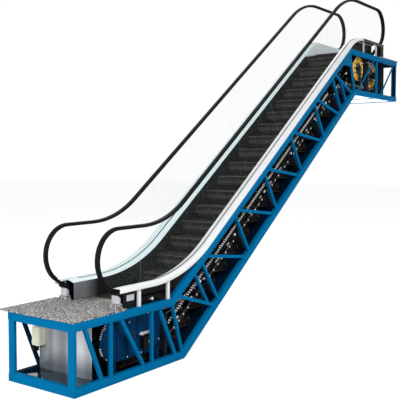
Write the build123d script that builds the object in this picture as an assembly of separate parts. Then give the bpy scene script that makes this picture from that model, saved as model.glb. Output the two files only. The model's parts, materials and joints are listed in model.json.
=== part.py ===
# Escalator with an open truss: a 35 degree incline, glass balustrades and decks on both sides.
# X runs up the travel, Y across it and Z up. The origin is the middle of the lower end beam's underside.
from build123d import *
import math
import os

os.makedirs("parts", exist_ok=True)

# Travel and truss
incline_deg = 35
rise = 4030
truss_width = 1150
truss_depth = 875
chord_depth = 100
chord_width = 75
bar_width = 46
bar_depth = 40
post_width = 44
brace_width = 24
bar_recess = 10
end_beam_width = 80
end_beam_depth = 110
end_post_width = 50
end_post_return = 30
lower_landing = 2140
upper_landing = 2235
lower_posts = (656, 1450)
lower_diagonals = ((200, 492), (838, 1281), (1610, 1955))
upper_post = 1106
upper_brace = 1269
incline_first_post = 1108
incline_post_pitch = 1074
incline_last_post = 6312
diagonal_offset = 145
pan_sheet = 4
cross_flat = 10
middle_flat = 22

# Levels count from the floor at each landing. Drops are vertical distances below the nose line.
plate_thickness = 22
floor_z = truss_depth + plate_thickness
nose_kink = 2030
handrail_level = 1006
handrail_drop = -1127
deck_level = 261
deck_drop = -152
fascia_level = 203
skirt_level = -60
skirt_drop = 300
centre_radius_low = 2458
centre_radius_up = 849

# Balustrade
balustrade_y = 452.5
handrail_width = 80
handrail_height = 33
newel_radius = 390
newel_inset = 916
newel_dive = 32
glass_thickness = 10
glass_inset = 24
glass_panel = 1200
deck_sheet = 4
deck_tip = 762
inner_deck_tip = 885
inner_deck_fall = 29
deck_post_insets = (1206, 1812)
upper_deck_post_insets = (1772, 1112)
deck_post_depth = 36
skirt_sheet = 4
skirt_gap = 4

# Step band
step_width = 700
step_level = -10
step_pitch = 400
links_per_step = 3
steps_round_wheel = 4
tread_gap = 6
tread_overhang = 66
axle_drop = 150
tread_thickness = 18
riser_thickness = 12
riser_sweep = 38
trail_back = 150
trail_drop = 100
chain_wheel_radius = 38
trail_wheel_radius = 30
chain_height = 30
top_radius_low = 1400
top_radius_up = 850
back_drop = 517.6
back_radius_low = 1000
back_radius_up = 500
lower_wheel_inset = 1123
upper_wheel_inset = 960

# Planes across the width
frame_y = (330, 338)
trail_wheel_y = (314, 330)
chain_wheel_y = (360, 378)
chain_y = (378, 382)
sprocket_y = (384, 392)
outer_chain_y = (394, 398)
bracket_y = (402, 500)
drive_chain_y = (420, 432)
track_edge = 380

# Handrail drive
drive_wheel_inset = 1894
drive_wheel_height = 553
drive_wheel_radius = 245
drive_wheel_bore = 140

# Driving machine, from the upper end face
machine_inset = 300
machine_length = 300
machine_height = 420
output_height = 330
pinion_radius = 80
shaft_wheel_radius = 200

# Lower end pit
pit_floor_level = 78
partition_x = 410
upper_partition_inset = 582

# Derived sizes
incline = math.radians(incline_deg)
slope = math.tan(incline)
cosine = math.cos(incline)
sine = math.sin(incline)
half_turn = math.tan(incline / 2)
run = rise / slope
incline_length = rise / sine
end_face = -end_beam_width / 2
bottom_kink = end_face + lower_landing
upper_end = bottom_kink + run + upper_landing
half_width = truss_width / 2
chord_inner = half_width - chord_width
bar_outer = half_width - bar_recess
bar_inner = bar_outer - bar_depth
half_step = step_width / 2 - 2
skirt_y = step_width / 2 + skirt_gap
fascia_drop = floor_z + (bottom_kink - nose_kink) * slope - truss_depth / cosine
link_pitch = step_pitch / links_per_step
sprocket_teeth = steps_round_wheel * links_per_step
sprocket_radius = sprocket_teeth * link_pitch / (2 * math.pi)
sprocket_bore = sprocket_radius - 88
tread_length = step_pitch - tread_gap
nose_back = tread_length - tread_overhang
bend_saving = (2 * half_turn - incline) * (top_radius_low + top_radius_up)
climb_extra = incline_length - run - bend_saving
lower_wheel_x = end_face + lower_wheel_inset
wheel_room = upper_end - upper_wheel_inset - lower_wheel_x + climb_extra
steps_between_wheels = int(wheel_room / step_pitch)
upper_wheel_x = lower_wheel_x + steps_between_wheels * step_pitch - climb_extra
step_count = 2 * steps_between_wheels + steps_round_wheel
chain_level = step_level - axle_drop
chain_drop = nose_back * slope + axle_drop
back_level = chain_level - 2 * sprocket_radius
wheel_z = floor_z + chain_level - sprocket_radius
lower_newel_x = end_face + newel_inset
upper_newel_x = upper_end - newel_inset
handrail_half = handrail_height / 2
dive = math.radians(newel_dive)
low_centre_z = floor_z + handrail_level - newel_radius
up_centre_z = low_centre_z + rise
drive_wheel_x = upper_end - drive_wheel_inset
drive_wheel_z = rise + drive_wheel_height
machine_x = upper_end - machine_inset
output_z = rise + output_height


def at(x, z):
    """A point of the side view."""
    return Vector(x, 0, z)


def polygon(*points):
    return Face(Wire(Polyline(*[at(*p) for p in points], close=True).edges()))


def box(x_low, x_high, y_low, y_high, z_low, z_high):
    size = (x_high - x_low, y_high - y_low, z_high - z_low)
    centre = ((x_low + x_high) / 2, (y_low + y_high) / 2, (z_low + z_high) / 2)
    return Pos(*centre) * Box(*size)


def across(face, y_low, y_high, side=1):
    """A side-view face given thickness between two distances from the middle, on one side."""
    low, high = sorted((side * y_low, side * y_high))
    return extrude(face, amount=high - low, dir=(0, 1, 0)).moved(Location((0, low, 0)))


def block(x_low, x_high, y_low, y_high, z_low, z_high, side):
    low, high = sorted((side * y_low, side * y_high))
    return box(x_low, x_high, low, high, z_low, z_high)


def disc(x, z, radius, y_low, y_high, side=1, sides=0, turn=0):
    """A round or many-sided disc with its axis across the escalator."""
    low, high = sorted((side * y_low, side * y_high))
    plane = Plane(origin=(x, low, z), x_dir=(1, 0, 0), z_dir=(0, 1, 0))
    outline = RegularPolygon(radius, sides, rotation=turn) if sides else Circle(radius)
    return extrude(plane * outline, amount=high - low)


def bar(start, end, width):
    """The side-view outline of a straight bar."""
    a = at(*start)
    b = at(*end)
    off = Vector(-(b - a).Z, 0, (b - a).X).normalized() * (width / 2)
    return Face(Wire(Polyline(a - off, b - off, b + off, a + off, close=True).edges()))


def offset(line, down):
    """A route moved square to itself, downwards when positive."""
    level, drop, low_radius, up_radius = line
    return (level - down, drop + down / cosine, low_radius + down, up_radius - down)


def moved_route(line, dx, dz):
    """A route moved as it stands."""
    level, drop, low_radius, up_radius = line
    return (level + dz, drop + dx * slope - dz, low_radius, up_radius)


def concentric(level, drop):
    """A route whose bends share the balustrade's bend centres."""
    return (level, drop, centre_radius_low + drop * cosine, centre_radius_up - drop * cosine)


def kink(line):
    return nose_kink + (line[0] + line[1]) / slope


def trace(line, start, end):
    """The side-view line of a route: flat, up the incline and flat again with rounded bends."""
    bend = kink(line)
    low = floor_z + line[0]
    corners = [at(start, low), at(bend, low), at(bend + run, low + rise), at(end, low + rise)]
    return FilletPolyline(*corners, radius=[line[2], line[3]])


def band(top, bottom, start, end):
    """The side-view face between two routes."""
    first = trace(top, start, end)
    second = trace(bottom, start, end)
    ends = [Line(first @ 0, second @ 0), Line(first @ 1, second @ 1)]
    return Face(Wire([*first.edges(), *second.edges(), *[e.edge() for e in ends]]))


def follow(pieces, points):
    """Sweeps a section of (across, outwards) points along the joined pieces of a side-view path."""
    plane = Plane(origin=pieces[0] @ 0, x_dir=(0, 1, 0), z_dir=pieces[0] % 0)
    section = Face(Wire((plane * Polyline(*points, close=True)).edges()))
    return sweep(section, path=Wire([e for piece in pieces for e in piece.edges()]))


def keep(node, *shapes):
    """Writes one node from all its solids."""
    solids = [s for shape in shapes for s in shape.solids()]
    export_step(solids[0] if len(solids) == 1 else Compound(children=solids), f"parts/{node}.step")


def on_incline(u, v):
    """A point of the inclined truss: u along the underside, v square to it."""
    return (bottom_kink + u * cosine - v * sine, u * sine + v * cosine)


def mitre(height, upper=False):
    """Where the kink's mitre stands at a height above the underside of the truss."""
    return bottom_kink + (run if upper else 0) - height * half_turn


sides = (("right", -1), ("left", 1))
low_chord = chord_depth
high_chord = truss_depth - chord_depth
into = 8


# Truss

def kink_post(upper):
    """The post on the mitre, its edges parallel to it."""
    half = post_width / 2
    base = rise if upper else 0
    length = incline_length if upper else 0
    sign = -1 if upper else 1
    return polygon(
        (mitre(low_chord, upper) - sign * half, base + low_chord),
        (mitre(low_chord, upper), base + low_chord),
        on_incline(length + low_chord * half_turn + sign * half, low_chord),
        on_incline(length + high_chord * half_turn + sign * half, high_chord),
        (mitre(high_chord, upper), base + high_chord),
        (mitre(high_chord, upper) - sign * half, base + high_chord),
    )


def flat_chords(x_end, base, upper):
    for low in (0, high_chord):
        high = low + chord_depth
        yield polygon(
            (x_end, base + low),
            (mitre(low, upper), base + low),
            (mitre(high, upper), base + high),
            (x_end, base + high),
        )


def side_panel(chords, bars, side, braces=()):
    """One side of a truss section: chords with posts, diagonals and thin braces between them."""
    chords = list(chords)
    body = across(chords[0], chord_inner, half_width, side) + across(chords[1], chord_inner, half_width, side)
    for face in bars:
        body += across(face, bar_inner, bar_outer, side)
    for face in braces:
        body += across(face, bar_outer - brace_width, bar_outer, side)
    return body


def upright(x, base, width):
    return bar((x, base + low_chord - into), (x, base + high_chord + into), width)


def falling(x_top, x_bottom, base):
    return bar((x_top, base + high_chord + into), (x_bottom, base + low_chord - into), bar_width)


def lower_panel(side):
    bars = [upright(end_face + end_post_width / 2, 0, end_post_width)]
    bars += [upright(end_face + x, 0, post_width) for x in lower_posts]
    for top, bottom in lower_diagonals:
        bars.append(falling(end_face + top, end_face + bottom, 0))
    bars.append(kink_post(False))
    return side_panel(flat_chords(end_face, 0, False), bars, side)


def upper_panel(side):
    low = rise + low_chord - into
    high = rise + high_chord + into
    bars = [upright(upper_end - end_post_width / 2, rise, end_post_width)]
    bars += [upright(upper_end - upper_post, rise, post_width), kink_post(True)]
    braces = [bar((upper_end - upper_brace, high), (mitre(low_chord, True) + 175, low), brace_width)]
    braces.append(bar((upper_end - 880, low), (upper_end - 155, high), brace_width))
    return side_panel(flat_chords(upper_end, rise, True), bars, side, braces)


incline_posts = [incline_first_post + i * incline_post_pitch for i in range(5)] + [incline_last_post]


def incline_panel(side):
    chords = []
    for low in (0, high_chord):
        high = low + chord_depth
        chords.append(
            polygon(
                on_incline(low * half_turn, low),
                on_incline(incline_length + low * half_turn, low),
                on_incline(incline_length + high * half_turn, high),
                on_incline(high * half_turn, high),
            )
        )
    bars = []
    tops = [truss_depth * half_turn, *incline_posts]
    feet = [u - diagonal_offset for u in incline_posts] + [incline_length - 100]
    for top, foot in zip(tops, feet):
        start = on_incline(top + diagonal_offset, high_chord + into)
        bars.append(bar(start, on_incline(foot, low_chord - into), bar_width))
    for u in incline_posts:
        bars.append(bar(on_incline(u, low_chord - into), on_incline(u, high_chord + into), post_width))
    top = tops[0] + diagonal_offset
    fall = (feet[0] - top) / (truss_depth - 2 * chord_depth + 2 * into)
    strut = top + (high_chord - 390) * fall
    bars.append(bar(on_incline(880, 390 - (880 - strut) / fall + 20), on_incline(880, high_chord + into), 40))
    bars.append(bar(on_incline(6596, low_chord - into), on_incline(6596, 590), 40))
    gusset = polygon(
        on_incline(incline_length + high_chord * half_turn - 26, high_chord + into),
        on_incline(incline_length + high_chord * half_turn - 420, high_chord + into),
        on_incline(incline_length + 600 * half_turn - 120, 600),
        on_incline(incline_length + 560 * half_turn - 26, 560),
    )
    bars.append(gusset)
    return side_panel(chords, bars, side)


def end_frame(x_low, base):
    """Top and bottom beams across an end of the truss, with a post at each side."""
    x_high = x_low + end_beam_width
    body = box(x_low, x_high, -chord_inner, chord_inner, base, base + end_beam_depth)
    top = base + truss_depth
    body += box(x_low, x_high, -chord_inner, chord_inner, top - end_beam_depth, top)
    post_low = x_low if base == 0 else x_high - end_post_width
    for side in (-1, 1):
        body += block(
            post_low, post_low + end_post_width, chord_inner - end_post_return, chord_inner, base, top, side
        )
    return body


def tilted(u, v_low, v_high, width, y_low, y_high, side=1):
    """A block standing square on the incline."""
    half = width / 2
    face = polygon(
        on_incline(u - half, v_low),
        on_incline(u + half, v_low),
        on_incline(u + half, v_high),
        on_incline(u - half, v_high),
    )
    return across(face, y_low, y_high, side)


back_nose_drop = back_drop + chain_drop
nose_v = (floor_z + (bottom_kink - nose_kink) * slope) * cosine
track_v = nose_v - chain_drop * cosine - chain_wheel_radius - 6
middle_v = track_v - middle_flat


def cross_members():
    """Flats across the underside and between the step runs at each post."""
    solids = []
    for x in (lower_posts[0] + end_face, lower_posts[1] + end_face):
        solids.append(box(x - 30, x + 30, -chord_inner, chord_inner, 0, cross_flat))
    x = upper_end - upper_post
    solids.append(box(x - 30, x + 30, -chord_inner, chord_inner, rise, rise + cross_flat))
    for u in incline_posts:
        solids.append(tilted(u, 0, cross_flat, 60, -chord_inner, chord_inner))
        solids.append(tilted(u, middle_v, track_v, 40, -bar_inner, bar_inner))
    return solids


def pans():
    """Soffit sheets inside the bottom chords, laid on the cross flats."""
    low = cross_flat
    high = cross_flat + pan_sheet
    flat_low = polygon(
        (end_face + end_beam_width, low), (mitre(low), low), (mitre(high), high), (end_face + end_beam_width, high)
    )
    flat_up = polygon(
        (mitre(low, True), rise + low),
        (upper_end - end_beam_width, rise + low),
        (upper_end - end_beam_width, rise + high),
        (mitre(high, True), rise + high),
    )
    tilt = polygon(
        on_incline(low * half_turn, low),
        on_incline(incline_length + low * half_turn, low),
        on_incline(incline_length + high * half_turn, high),
        on_incline(high * half_turn, high),
    )
    for name, face in (("lower", flat_low), ("incline", tilt), ("upper", flat_up)):
        keep(f"soffit_{name}", across(face, -chord_inner, chord_inner))


# Balustrades

deck_line = concentric(deck_level, deck_drop)
fascia_line = concentric(fascia_level, fascia_drop)
handrail_line = concentric(handrail_level, handrail_drop)
deck_start = deck_tip
deck_end = upper_end + end_face - deck_tip
plate_end = end_face + 930
upper_plate_start = upper_end - 930
tongue = 150
plate_ledge = 125
low_newel = (end_face + 835, end_face + 890)
up_newel = (upper_end - 800, upper_end - 620)
inner_start = inner_deck_tip
inner_end = upper_end + end_face - inner_deck_tip


def outer_deck(side):
    under = (deck_line[0] - deck_sheet, deck_line[1] + deck_sheet, deck_line[2], deck_line[3])
    top = across(band(deck_line, under, deck_start, deck_end), balustrade_y + 5.5, half_width, side)
    edge = across(band(under, fascia_line, deck_start, deck_end), half_width - deck_sheet, half_width, side)
    return top + edge


def inner_deck(side):
    fall = inner_deck_fall
    inner = skirt_y
    outer = balustrade_y - 5.5
    points = [
        (inner, -fall),
        (outer, 0),
        (outer, -deck_sheet),
        (inner + skirt_sheet, -fall - deck_sheet),
        (inner, -fall - deck_sheet),
    ]
    return follow([trace(deck_line, inner_start, inner_end)], [(side * y, z) for y, z in points])


def skirt(side):
    top = offset(deck_line, inner_deck_fall + deck_sheet)
    low = (skirt_level, skirt_drop, 1800, 700)
    return across(band(top, low, plate_end, upper_plate_start), skirt_y, skirt_y + skirt_sheet, side)


clamp_start = 1075
clamp_end = upper_end - 1115


def glass_clamp(side):
    """The channel that grips the glass under the decks."""
    inner = balustrade_y - glass_thickness / 2
    outer = balustrade_y + glass_thickness / 2
    lip = -deck_sheet - 10 * inner_deck_fall / (inner - skirt_y)
    points = [
        (inner - 10, lip - 0.5),
        (inner, -deck_sheet - 0.5),
        (inner, -28),
        (outer, -28),
        (outer, -deck_sheet),
        (outer + 10, -deck_sheet),
        (outer + 10, -40),
        (inner - 10, -40),
    ]
    return follow([trace(deck_line, clamp_start, clamp_end)], [(side * y, z) for y, z in points])


def glass(side):
    """Balustrade glass with round newel ends, cut into panels."""
    top = trace(offset(handrail_line, glass_inset), lower_newel_x, upper_newel_x)
    foot = trace(offset(deck_line, 28), clamp_start, clamp_end)
    radius = newel_radius - glass_inset
    low_arc = ThreePointArc(
        at(lower_newel_x, low_centre_z - radius), at(lower_newel_x - radius, low_centre_z), top @ 0
    )
    up_arc = ThreePointArc(top @ 1, at(upper_newel_x + radius, up_centre_z), at(upper_newel_x, up_centre_z - radius))
    low_edge = Polyline(low_arc @ 0, at(clamp_start, (low_arc @ 0).Z), foot @ 0)
    up_edge = Polyline(foot @ 1, at(clamp_end, (up_arc @ 1).Z), up_arc @ 1)
    edges = [*low_arc.edges(), *top.edges(), *up_arc.edges(), *low_edge.edges(), *foot.edges(), *up_edge.edges()]
    y_low = balustrade_y - glass_thickness / 2
    sheet = across(Face(Wire(edges)), y_low, y_low + glass_thickness, side)
    cuts = []
    for x, base in ((clamp_start + 225, 0), (clamp_end - 275, rise)):
        cuts.append(box(x - 2, x + 2, -half_width, half_width, base + floor_z, base + floor_z + handrail_level + 300))
    for i in range(int((incline_length - 400) / glass_panel)):
        middle = (0.5 + i) * glass_panel
        cuts.append(tilted(middle, truss_depth - 75, truss_depth + 1425, 4, -half_width, half_width))
    for cut in cuts:
        sheet -= cut
    return sheet


def dive_point(upper):
    """Where the handrail's middle line leaves the newel's circle."""
    reach = newel_radius * math.sin(dive)
    drop = newel_radius * math.cos(dive)
    if upper:
        return (upper_newel_x + reach, up_centre_z - drop)
    return (lower_newel_x - reach, low_centre_z - drop)


def dive_height(x, upper):
    """The handrail's middle line as it dives under the deck."""
    start = dive_point(upper)
    return start[1] - abs(x - start[0]) * math.tan(dive)


def newel_arc(upper):
    """The arc the handrail's middle line makes round a newel, in the direction of travel."""
    leave = at(*dive_point(upper))
    if upper:
        x, z = upper_newel_x, up_centre_z
        return ThreePointArc(at(x, z + newel_radius), at(x + newel_radius, z), leave)
    x, z = lower_newel_x, low_centre_z
    return ThreePointArc(leave, at(x - newel_radius, z), at(x, z + newel_radius))


def return_path():
    """The handrail's way back under the decks, over its drive wheel."""
    low_end = dive_point(False)
    up_end = dive_point(True)
    wrap = drive_wheel_radius + handrail_half
    leave = math.radians(15)
    reach = wrap * math.tan((incline + leave) / 2)
    crest = (
        drive_wheel_x - wrap * sine + reach * cosine,
        drive_wheel_z + wrap * cosine + reach * sine,
    )
    fall = math.tan(dive)
    along = (crest[1] - up_end[1] + fall * (up_end[0] - crest[0])) / (fall + math.tan(leave))
    dip = (crest[0] + along, crest[1] - along * math.tan(leave))
    foot_z = floor_z + 60
    foot_x = crest[0] - (crest[1] - foot_z) / slope
    turn_x = low_end[0] + (low_end[1] - foot_z) / fall
    corners = [(*dip, 300), (*crest, wrap), (foot_x, foot_z, 1200), (turn_x, foot_z, 300)]
    points = [at(x, z) for x, z, _ in corners]
    return FilletPolyline(at(*up_end), *points, at(*low_end), radius=[r for _, _, r in corners])


def handrail(side):
    """The moving handrail: a C section, one fixed loop."""
    half = handrail_width / 2
    outline = [
        (24, -14), (34, -14), (half, -6), (half, 4), (32, 13), (14, handrail_half),
        (-14, handrail_half), (-32, 13), (-half, 4), (-half, -6), (-34, -14), (-24, -14),
        (-24, -8), (-30, -8), (-30, 2), (30, 2), (30, -8), (24, -8),
    ]
    top = trace(handrail_line, lower_newel_x, upper_newel_x)
    pieces = [top, newel_arc(True), return_path(), newel_arc(False)]
    return follow(pieces, [(side * balustrade_y + y, z) for y, z in outline])


def guide(side):
    """The handrail's guide, seated on the glass edge from newel to newel."""
    half = glass_thickness / 2
    outline = [
        (-28, 2), (28, 2), (28, -7), (20, -7), (20, -16), (22, -16), (22, -40), (half, -40),
        (half, -glass_inset), (-half, -glass_inset), (-half, -40), (-22, -40), (-22, -16), (-20, -16),
        (-20, -7), (-28, -7),
    ]
    pieces = [newel_arc(False), trace(handrail_line, lower_newel_x, upper_newel_x), newel_arc(True)]
    return follow(pieces, [(side * balustrade_y + y, z) for y, z in outline])


deck_stations = [(end_face + inset, 0) for inset in deck_post_insets]
deck_stations += [(upper_end - inset, rise) for inset in upper_deck_post_insets]


def deck_posts(side):
    """White posts from the truss up to the decks at both landings."""
    solids = []
    under = floor_z + deck_level - deck_sheet
    half = post_width / 2
    outer = half_width - 20
    inner = outer - deck_post_depth
    for x, base in deck_stations:
        post = block(x - half, x + half, inner, outer, truss_depth + base, under + base, side)
        if x < clamp_end:
            post += block(x - half, x + half, balustrade_y + 15, inner, under + base - 30, under + base, side)
        solids.append(post)
    return solids


def skirt_brackets(side):
    """Blocks that hang the skirt and the glass clamp from the top chords."""
    solids = []
    clamp_v = nose_v - deck_drop * cosine
    for x, base in deck_stations:
        solids.append(
            block(x - 20, x + 20, skirt_y + skirt_sheet, chord_inner, base + truss_depth - 30, base + truss_depth - 10, side)
        )
    for u in incline_posts:
        solids.append(tilted(u, nose_v + 10, nose_v + 30, 40, skirt_y + skirt_sheet, chord_inner, side))
        solids.append(tilted(u, clamp_v - 38, truss_depth, 40, balustrade_y + 15, chord_inner, side))
    return solids


newel_inner = balustrade_y - 52.5
newel_outer = balustrade_y + 52.5
collar_under = 40
collar_over = 28


def dive_band(x_low, x_high, under, over, upper):
    """The side-view face along the handrail's dive, between heights under and over its middle line."""
    low = dive_height(x_low, upper)
    high = dive_height(x_high, upper)
    return polygon((x_low, low - under), (x_high, high - under), (x_high, high + over), (x_low, low + over))


def newel_base(x_low, x_high, foot, upper, side):
    """The box that carries an inlet collar, its top cut along the handrail's dive."""
    turn = min(x_high, dive_point(True)[0])
    high = dive_height(turn, upper) - collar_under
    low = dive_height(x_low, upper) - collar_under
    points = [(x_low, foot), (x_high, foot), (x_high, high), (x_low, low)]
    if turn < x_high:
        points.insert(3, (turn, high))
    return across(polygon(*points), newel_inner, newel_outer, side)


def newel_collar(x_low, x_high, upper, side):
    """The black collar round the handrail where it dives in."""
    body = across(dive_band(x_low, x_high, collar_under, collar_over, upper), newel_inner, newel_outer, side)
    hole = dive_band(x_low, x_high, 22, 23, upper)
    return body - across(hole, balustrade_y - 44, balustrade_y + 44, side)


def newel_housing(side):
    """The dark side plate under the deck behind a lower newel."""
    x_low = end_face + 935
    top = floor_z + deck_level - deck_sheet
    return block(x_low, x_low + 210, 502, 510, truss_depth, top, side)


# Landings

comb_teeth = 34
thin_plate = 8
plinth_height = 60


def landing_plate(flip):
    """The floor plate over a truss end, thin over the steps, with a tongue to the comb."""
    under = floor_z - plate_thickness
    skin = floor_z - thin_plate
    if flip:
        body = box(upper_plate_start, upper_end + 60, -half_width, half_width, under, floor_z)
        body += box(upper_plate_start - tongue, upper_plate_start, -half_step, half_step, skin, floor_z)
        return body.moved(Location((0, 0, rise)))
    body = box(end_face - 20, plate_end, -half_width, half_width + plate_ledge, under, floor_z)
    body += box(plate_end, plate_end + tongue, -half_step, half_step, skin, floor_z)
    body -= box(lower_wheel_x - nose_back - 15, plate_end, -skirt_y, skirt_y, under, skin)
    for side in (-1, 1):
        low, high = low_newel
        body += block(low - 15, high + 15, newel_inner - 15, newel_outer + 15, floor_z, floor_z + plinth_height, side)
    return body


def comb(root_x, direction, base):
    """The comb: a thin plate with teeth that point at the steps."""
    low = base + floor_z - thin_plate
    high = base + floor_z
    body_end = root_x + direction * 150
    x_low, x_high = sorted((root_x, body_end))
    body = box(x_low, x_high, -half_step, half_step, low, high)
    pitch = 2 * half_step / comb_teeth
    teeth = polygon(
        (body_end, low),
        (body_end + direction * 70, low),
        (body_end + direction * 70, low + 2),
        (body_end, high),
    )
    for i in range(comb_teeth):
        middle = -half_step + (i + 0.5) * pitch
        body += across(teeth, middle - 4, middle + 4)
    return body


# Step band

nose_line = (step_level, 0, top_radius_low, top_radius_up)
chain_line = moved_route(nose_line, nose_back, -axle_drop)
trail_line = moved_route(chain_line, -trail_back, -trail_drop)
back_line = (back_level, back_drop, back_radius_low, back_radius_up)
back_trail_line = moved_route(back_line, trail_back, trail_drop)


def step_profile():
    """Tread and curved riser: the riser is struck from the tread's rear corner."""
    rear = (tread_overhang, axle_drop)
    nose = (tread_overhang - tread_length, axle_drop)
    inner = tread_length - riser_thickness
    foot = math.radians(180 + riser_sweep)
    lip = math.pi + math.asin(tread_thickness / inner)

    def polar(radius, angle):
        return (rear[0] + radius * math.cos(angle), rear[1] + radius * math.sin(angle))

    outer_arc = ThreePointArc(
        at(*nose), at(*polar(tread_length, (math.pi + foot) / 2)), at(*polar(tread_length, foot))
    )
    inner_arc = ThreePointArc(at(*polar(inner, foot)), at(*polar(inner, (foot + lip) / 2)), at(*polar(inner, lip)))
    close = Polyline(inner_arc @ 1, at(rear[0], rear[1] - tread_thickness), at(*rear), at(*nose))
    foot_edge = Line(outer_arc @ 1, inner_arc @ 0)
    return Face(Wire([*outer_arc.edges(), *foot_edge.edges(), *inner_arc.edges(), *close.edges()]))


def make_step():
    """One step about its chain axle: tread, riser, two frames, axle stubs and trailing wheels."""
    under = axle_drop - tread_thickness
    body = across(step_profile(), -half_step, half_step)
    frame = polygon(
        (-285, under), (40, under), (18, -18), (-18, -24), (-trail_back + 24, -trail_drop - 24),
        (-trail_back - 22, -trail_drop - 22),
    )
    for side in (-1, 1):
        body += across(frame, *frame_y, side)
        body += disc(0, 0, 12, frame_y[1], chain_wheel_y[0], side, 6)
        body += disc(-trail_back, -trail_drop, trail_wheel_radius, *trail_wheel_y, side, 8)
    return body


def chain_loop():
    """The chain's closed path, from the top of the lower wheel."""
    top = trace(chain_line, lower_wheel_x, upper_wheel_x)
    back = trace(back_line, lower_wheel_x, upper_wheel_x)
    up = ThreePointArc(top @ 1, at(upper_wheel_x + sprocket_radius, wheel_z + rise), back @ 1)
    low = ThreePointArc(back @ 0, at(lower_wheel_x - sprocket_radius, wheel_z), top @ 0)
    return top, up, back, low


def step_places():
    """Where each step's chain axle stands, and how far the step is turned."""
    top, up, back, low = chain_loop()
    lengths = [part.length for part in (top, up, back, low)]
    pitch = sum(lengths) / step_count
    reach = step_pitch / 2 - tread_overhang
    lean = math.asin(reach / sprocket_radius)
    places = []
    for i in range(step_count):
        s = i * pitch
        if s < lengths[0] + 10:
            places.append(("top", top @ min(1, s / lengths[0]), 0))
            continue
        s -= lengths[0]
        if s < lengths[1]:
            part = s / lengths[1]
            turn = -math.pi * part + lean * min(1, 3 * part, 3 - 3 * part)
            places.append(("return", up @ part, turn))
            continue
        s -= lengths[1]
        if s < lengths[2]:
            places.append(("return", back @ (1 - s / lengths[2]), math.pi))
            continue
        part = (s - lengths[2]) / lengths[3]
        turn = -math.pi * (1 + part) + lean * min(1, 3 * part, 3 - 3 * part)
        places.append(("return", low @ part, turn))
    return places


def set_steps():
    """Puts every step on the chain and sorts them into the runs."""
    step = make_step()
    groups = {"lower": [], "incline": [], "upper": [], "return": []}
    places = step_places()
    for run_name, point, turn in places:
        if run_name == "top":
            name = "lower" if point.X < bottom_kink + step_pitch else "incline" if point.X < bottom_kink + run else "upper"
        else:
            name = "return"
        placed = Pos(point.X, 0, point.Z) * Rot(0, -math.degrees(turn), 0) * step
        groups[name].append(placed)
    for name, solids in groups.items():
        keep(f"steps_{name}", *solids)
    return places


def chain_band(y_low, y_high, side):
    """The chain's plates as one closed loop."""
    half = chain_height / 2
    faces = []
    for grow in (half, -half):
        top = trace(offset(chain_line, -grow), lower_wheel_x, upper_wheel_x)
        back = trace(offset(back_line, grow), lower_wheel_x, upper_wheel_x)
        radius = sprocket_radius + grow
        up = ThreePointArc(top @ 1, at(upper_wheel_x + radius, wheel_z + rise), back @ 1)
        low = ThreePointArc(back @ 0, at(lower_wheel_x - radius, wheel_z), top @ 0)
        faces.append(Face(Wire([*top.edges(), *up.edges(), *back.edges(), *low.edges()])))
    return across(faces[0] - faces[1], y_low, y_high, side)


def chain(places, side):
    """Inner and outer plates joined by a pin at each step axle."""
    body = chain_band(*chain_y, side) + chain_band(*outer_chain_y, side)
    pins = [disc(p.X, p.Z, 8, chain_y[1] - 1, outer_chain_y[0] + 1, side, 6) for _, p, _ in places]
    return body.fuse(*pins)


def tracks(side):
    """Flats under the chain wheels and bars under the trailing wheels, on both runs."""
    start = lower_wheel_x + 15
    end = upper_wheel_x - 15
    solids = []
    for line, radius in ((chain_line, chain_wheel_radius), (back_line, chain_wheel_radius)):
        face = band(offset(line, radius), offset(line, radius + 6), start, end)
        solids.append(across(face, chain_wheel_y[0], track_edge, side))
    face = band(offset(trail_line, trail_wheel_radius), offset(trail_line, trail_wheel_radius + 18), start, end)
    solids.append(across(face, *trail_wheel_y, side))
    return solids


def track_brackets(side):
    """Plates at the posts that carry the tracks."""
    solids = []
    back_v = nose_v - back_drop * cosine - chain_wheel_radius - 6
    for u in incline_posts:
        plate = tilted(u, low_chord - 40, middle_v, 10, *bracket_y, side)
        plate += tilted(u, back_v - 12, back_v, 10, track_edge - 4, bracket_y[0], side)
        solids.append(plate)
    for x, base in ((1790, 0), (upper_end - 1420, rise)):
        top = base + floor_z + chain_level - chain_wheel_radius - 6
        low = base + floor_z + back_level - chain_wheel_radius - 6
        plate = block(x - 5, x + 5, *bracket_y, base + 40, top, side)
        plate += block(x - 5, x + 5, track_edge - 4, bracket_y[0], top - 12, top, side)
        plate += block(x - 5, x + 5, track_edge - 4, bracket_y[0], low - 12, low, side)
        solids.append(plate)
    return solids


def landing_ties():
    """Cross bars under the trailing tracks at the landings."""
    solids = []
    for x, base in ((1790, 0), (upper_end - 1420, rise)):
        top = base + floor_z + trail_line[0] - trail_wheel_radius - 18
        solids.append(box(x - 20, x + 20, -bracket_y[0], bracket_y[0], top - middle_flat, top))
    return solids


def sprocket(side):
    """A toothed chain sprocket ring with a row of holes."""
    tip = sprocket_radius + 14
    body = disc(upper_wheel_x, wheel_z + rise, tip, *sprocket_y, side)
    for i in range(sprocket_teeth):
        angle = 2 * math.pi * i / sprocket_teeth
        x = upper_wheel_x + (sprocket_radius + 6) * math.sin(angle)
        z = wheel_z + rise + (sprocket_radius + 6) * math.cos(angle)
        body -= disc(x, z, 34, *sprocket_y, side, 10)
        hole_x = upper_wheel_x + (sprocket_bore + 28) * math.sin(angle)
        hole_z = wheel_z + rise + (sprocket_bore + 28) * math.cos(angle)
        body -= disc(hole_x, hole_z, 15, *sprocket_y, side, 10)
    return body - disc(upper_wheel_x, wheel_z + rise, sprocket_bore, *sprocket_y, side)


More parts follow.
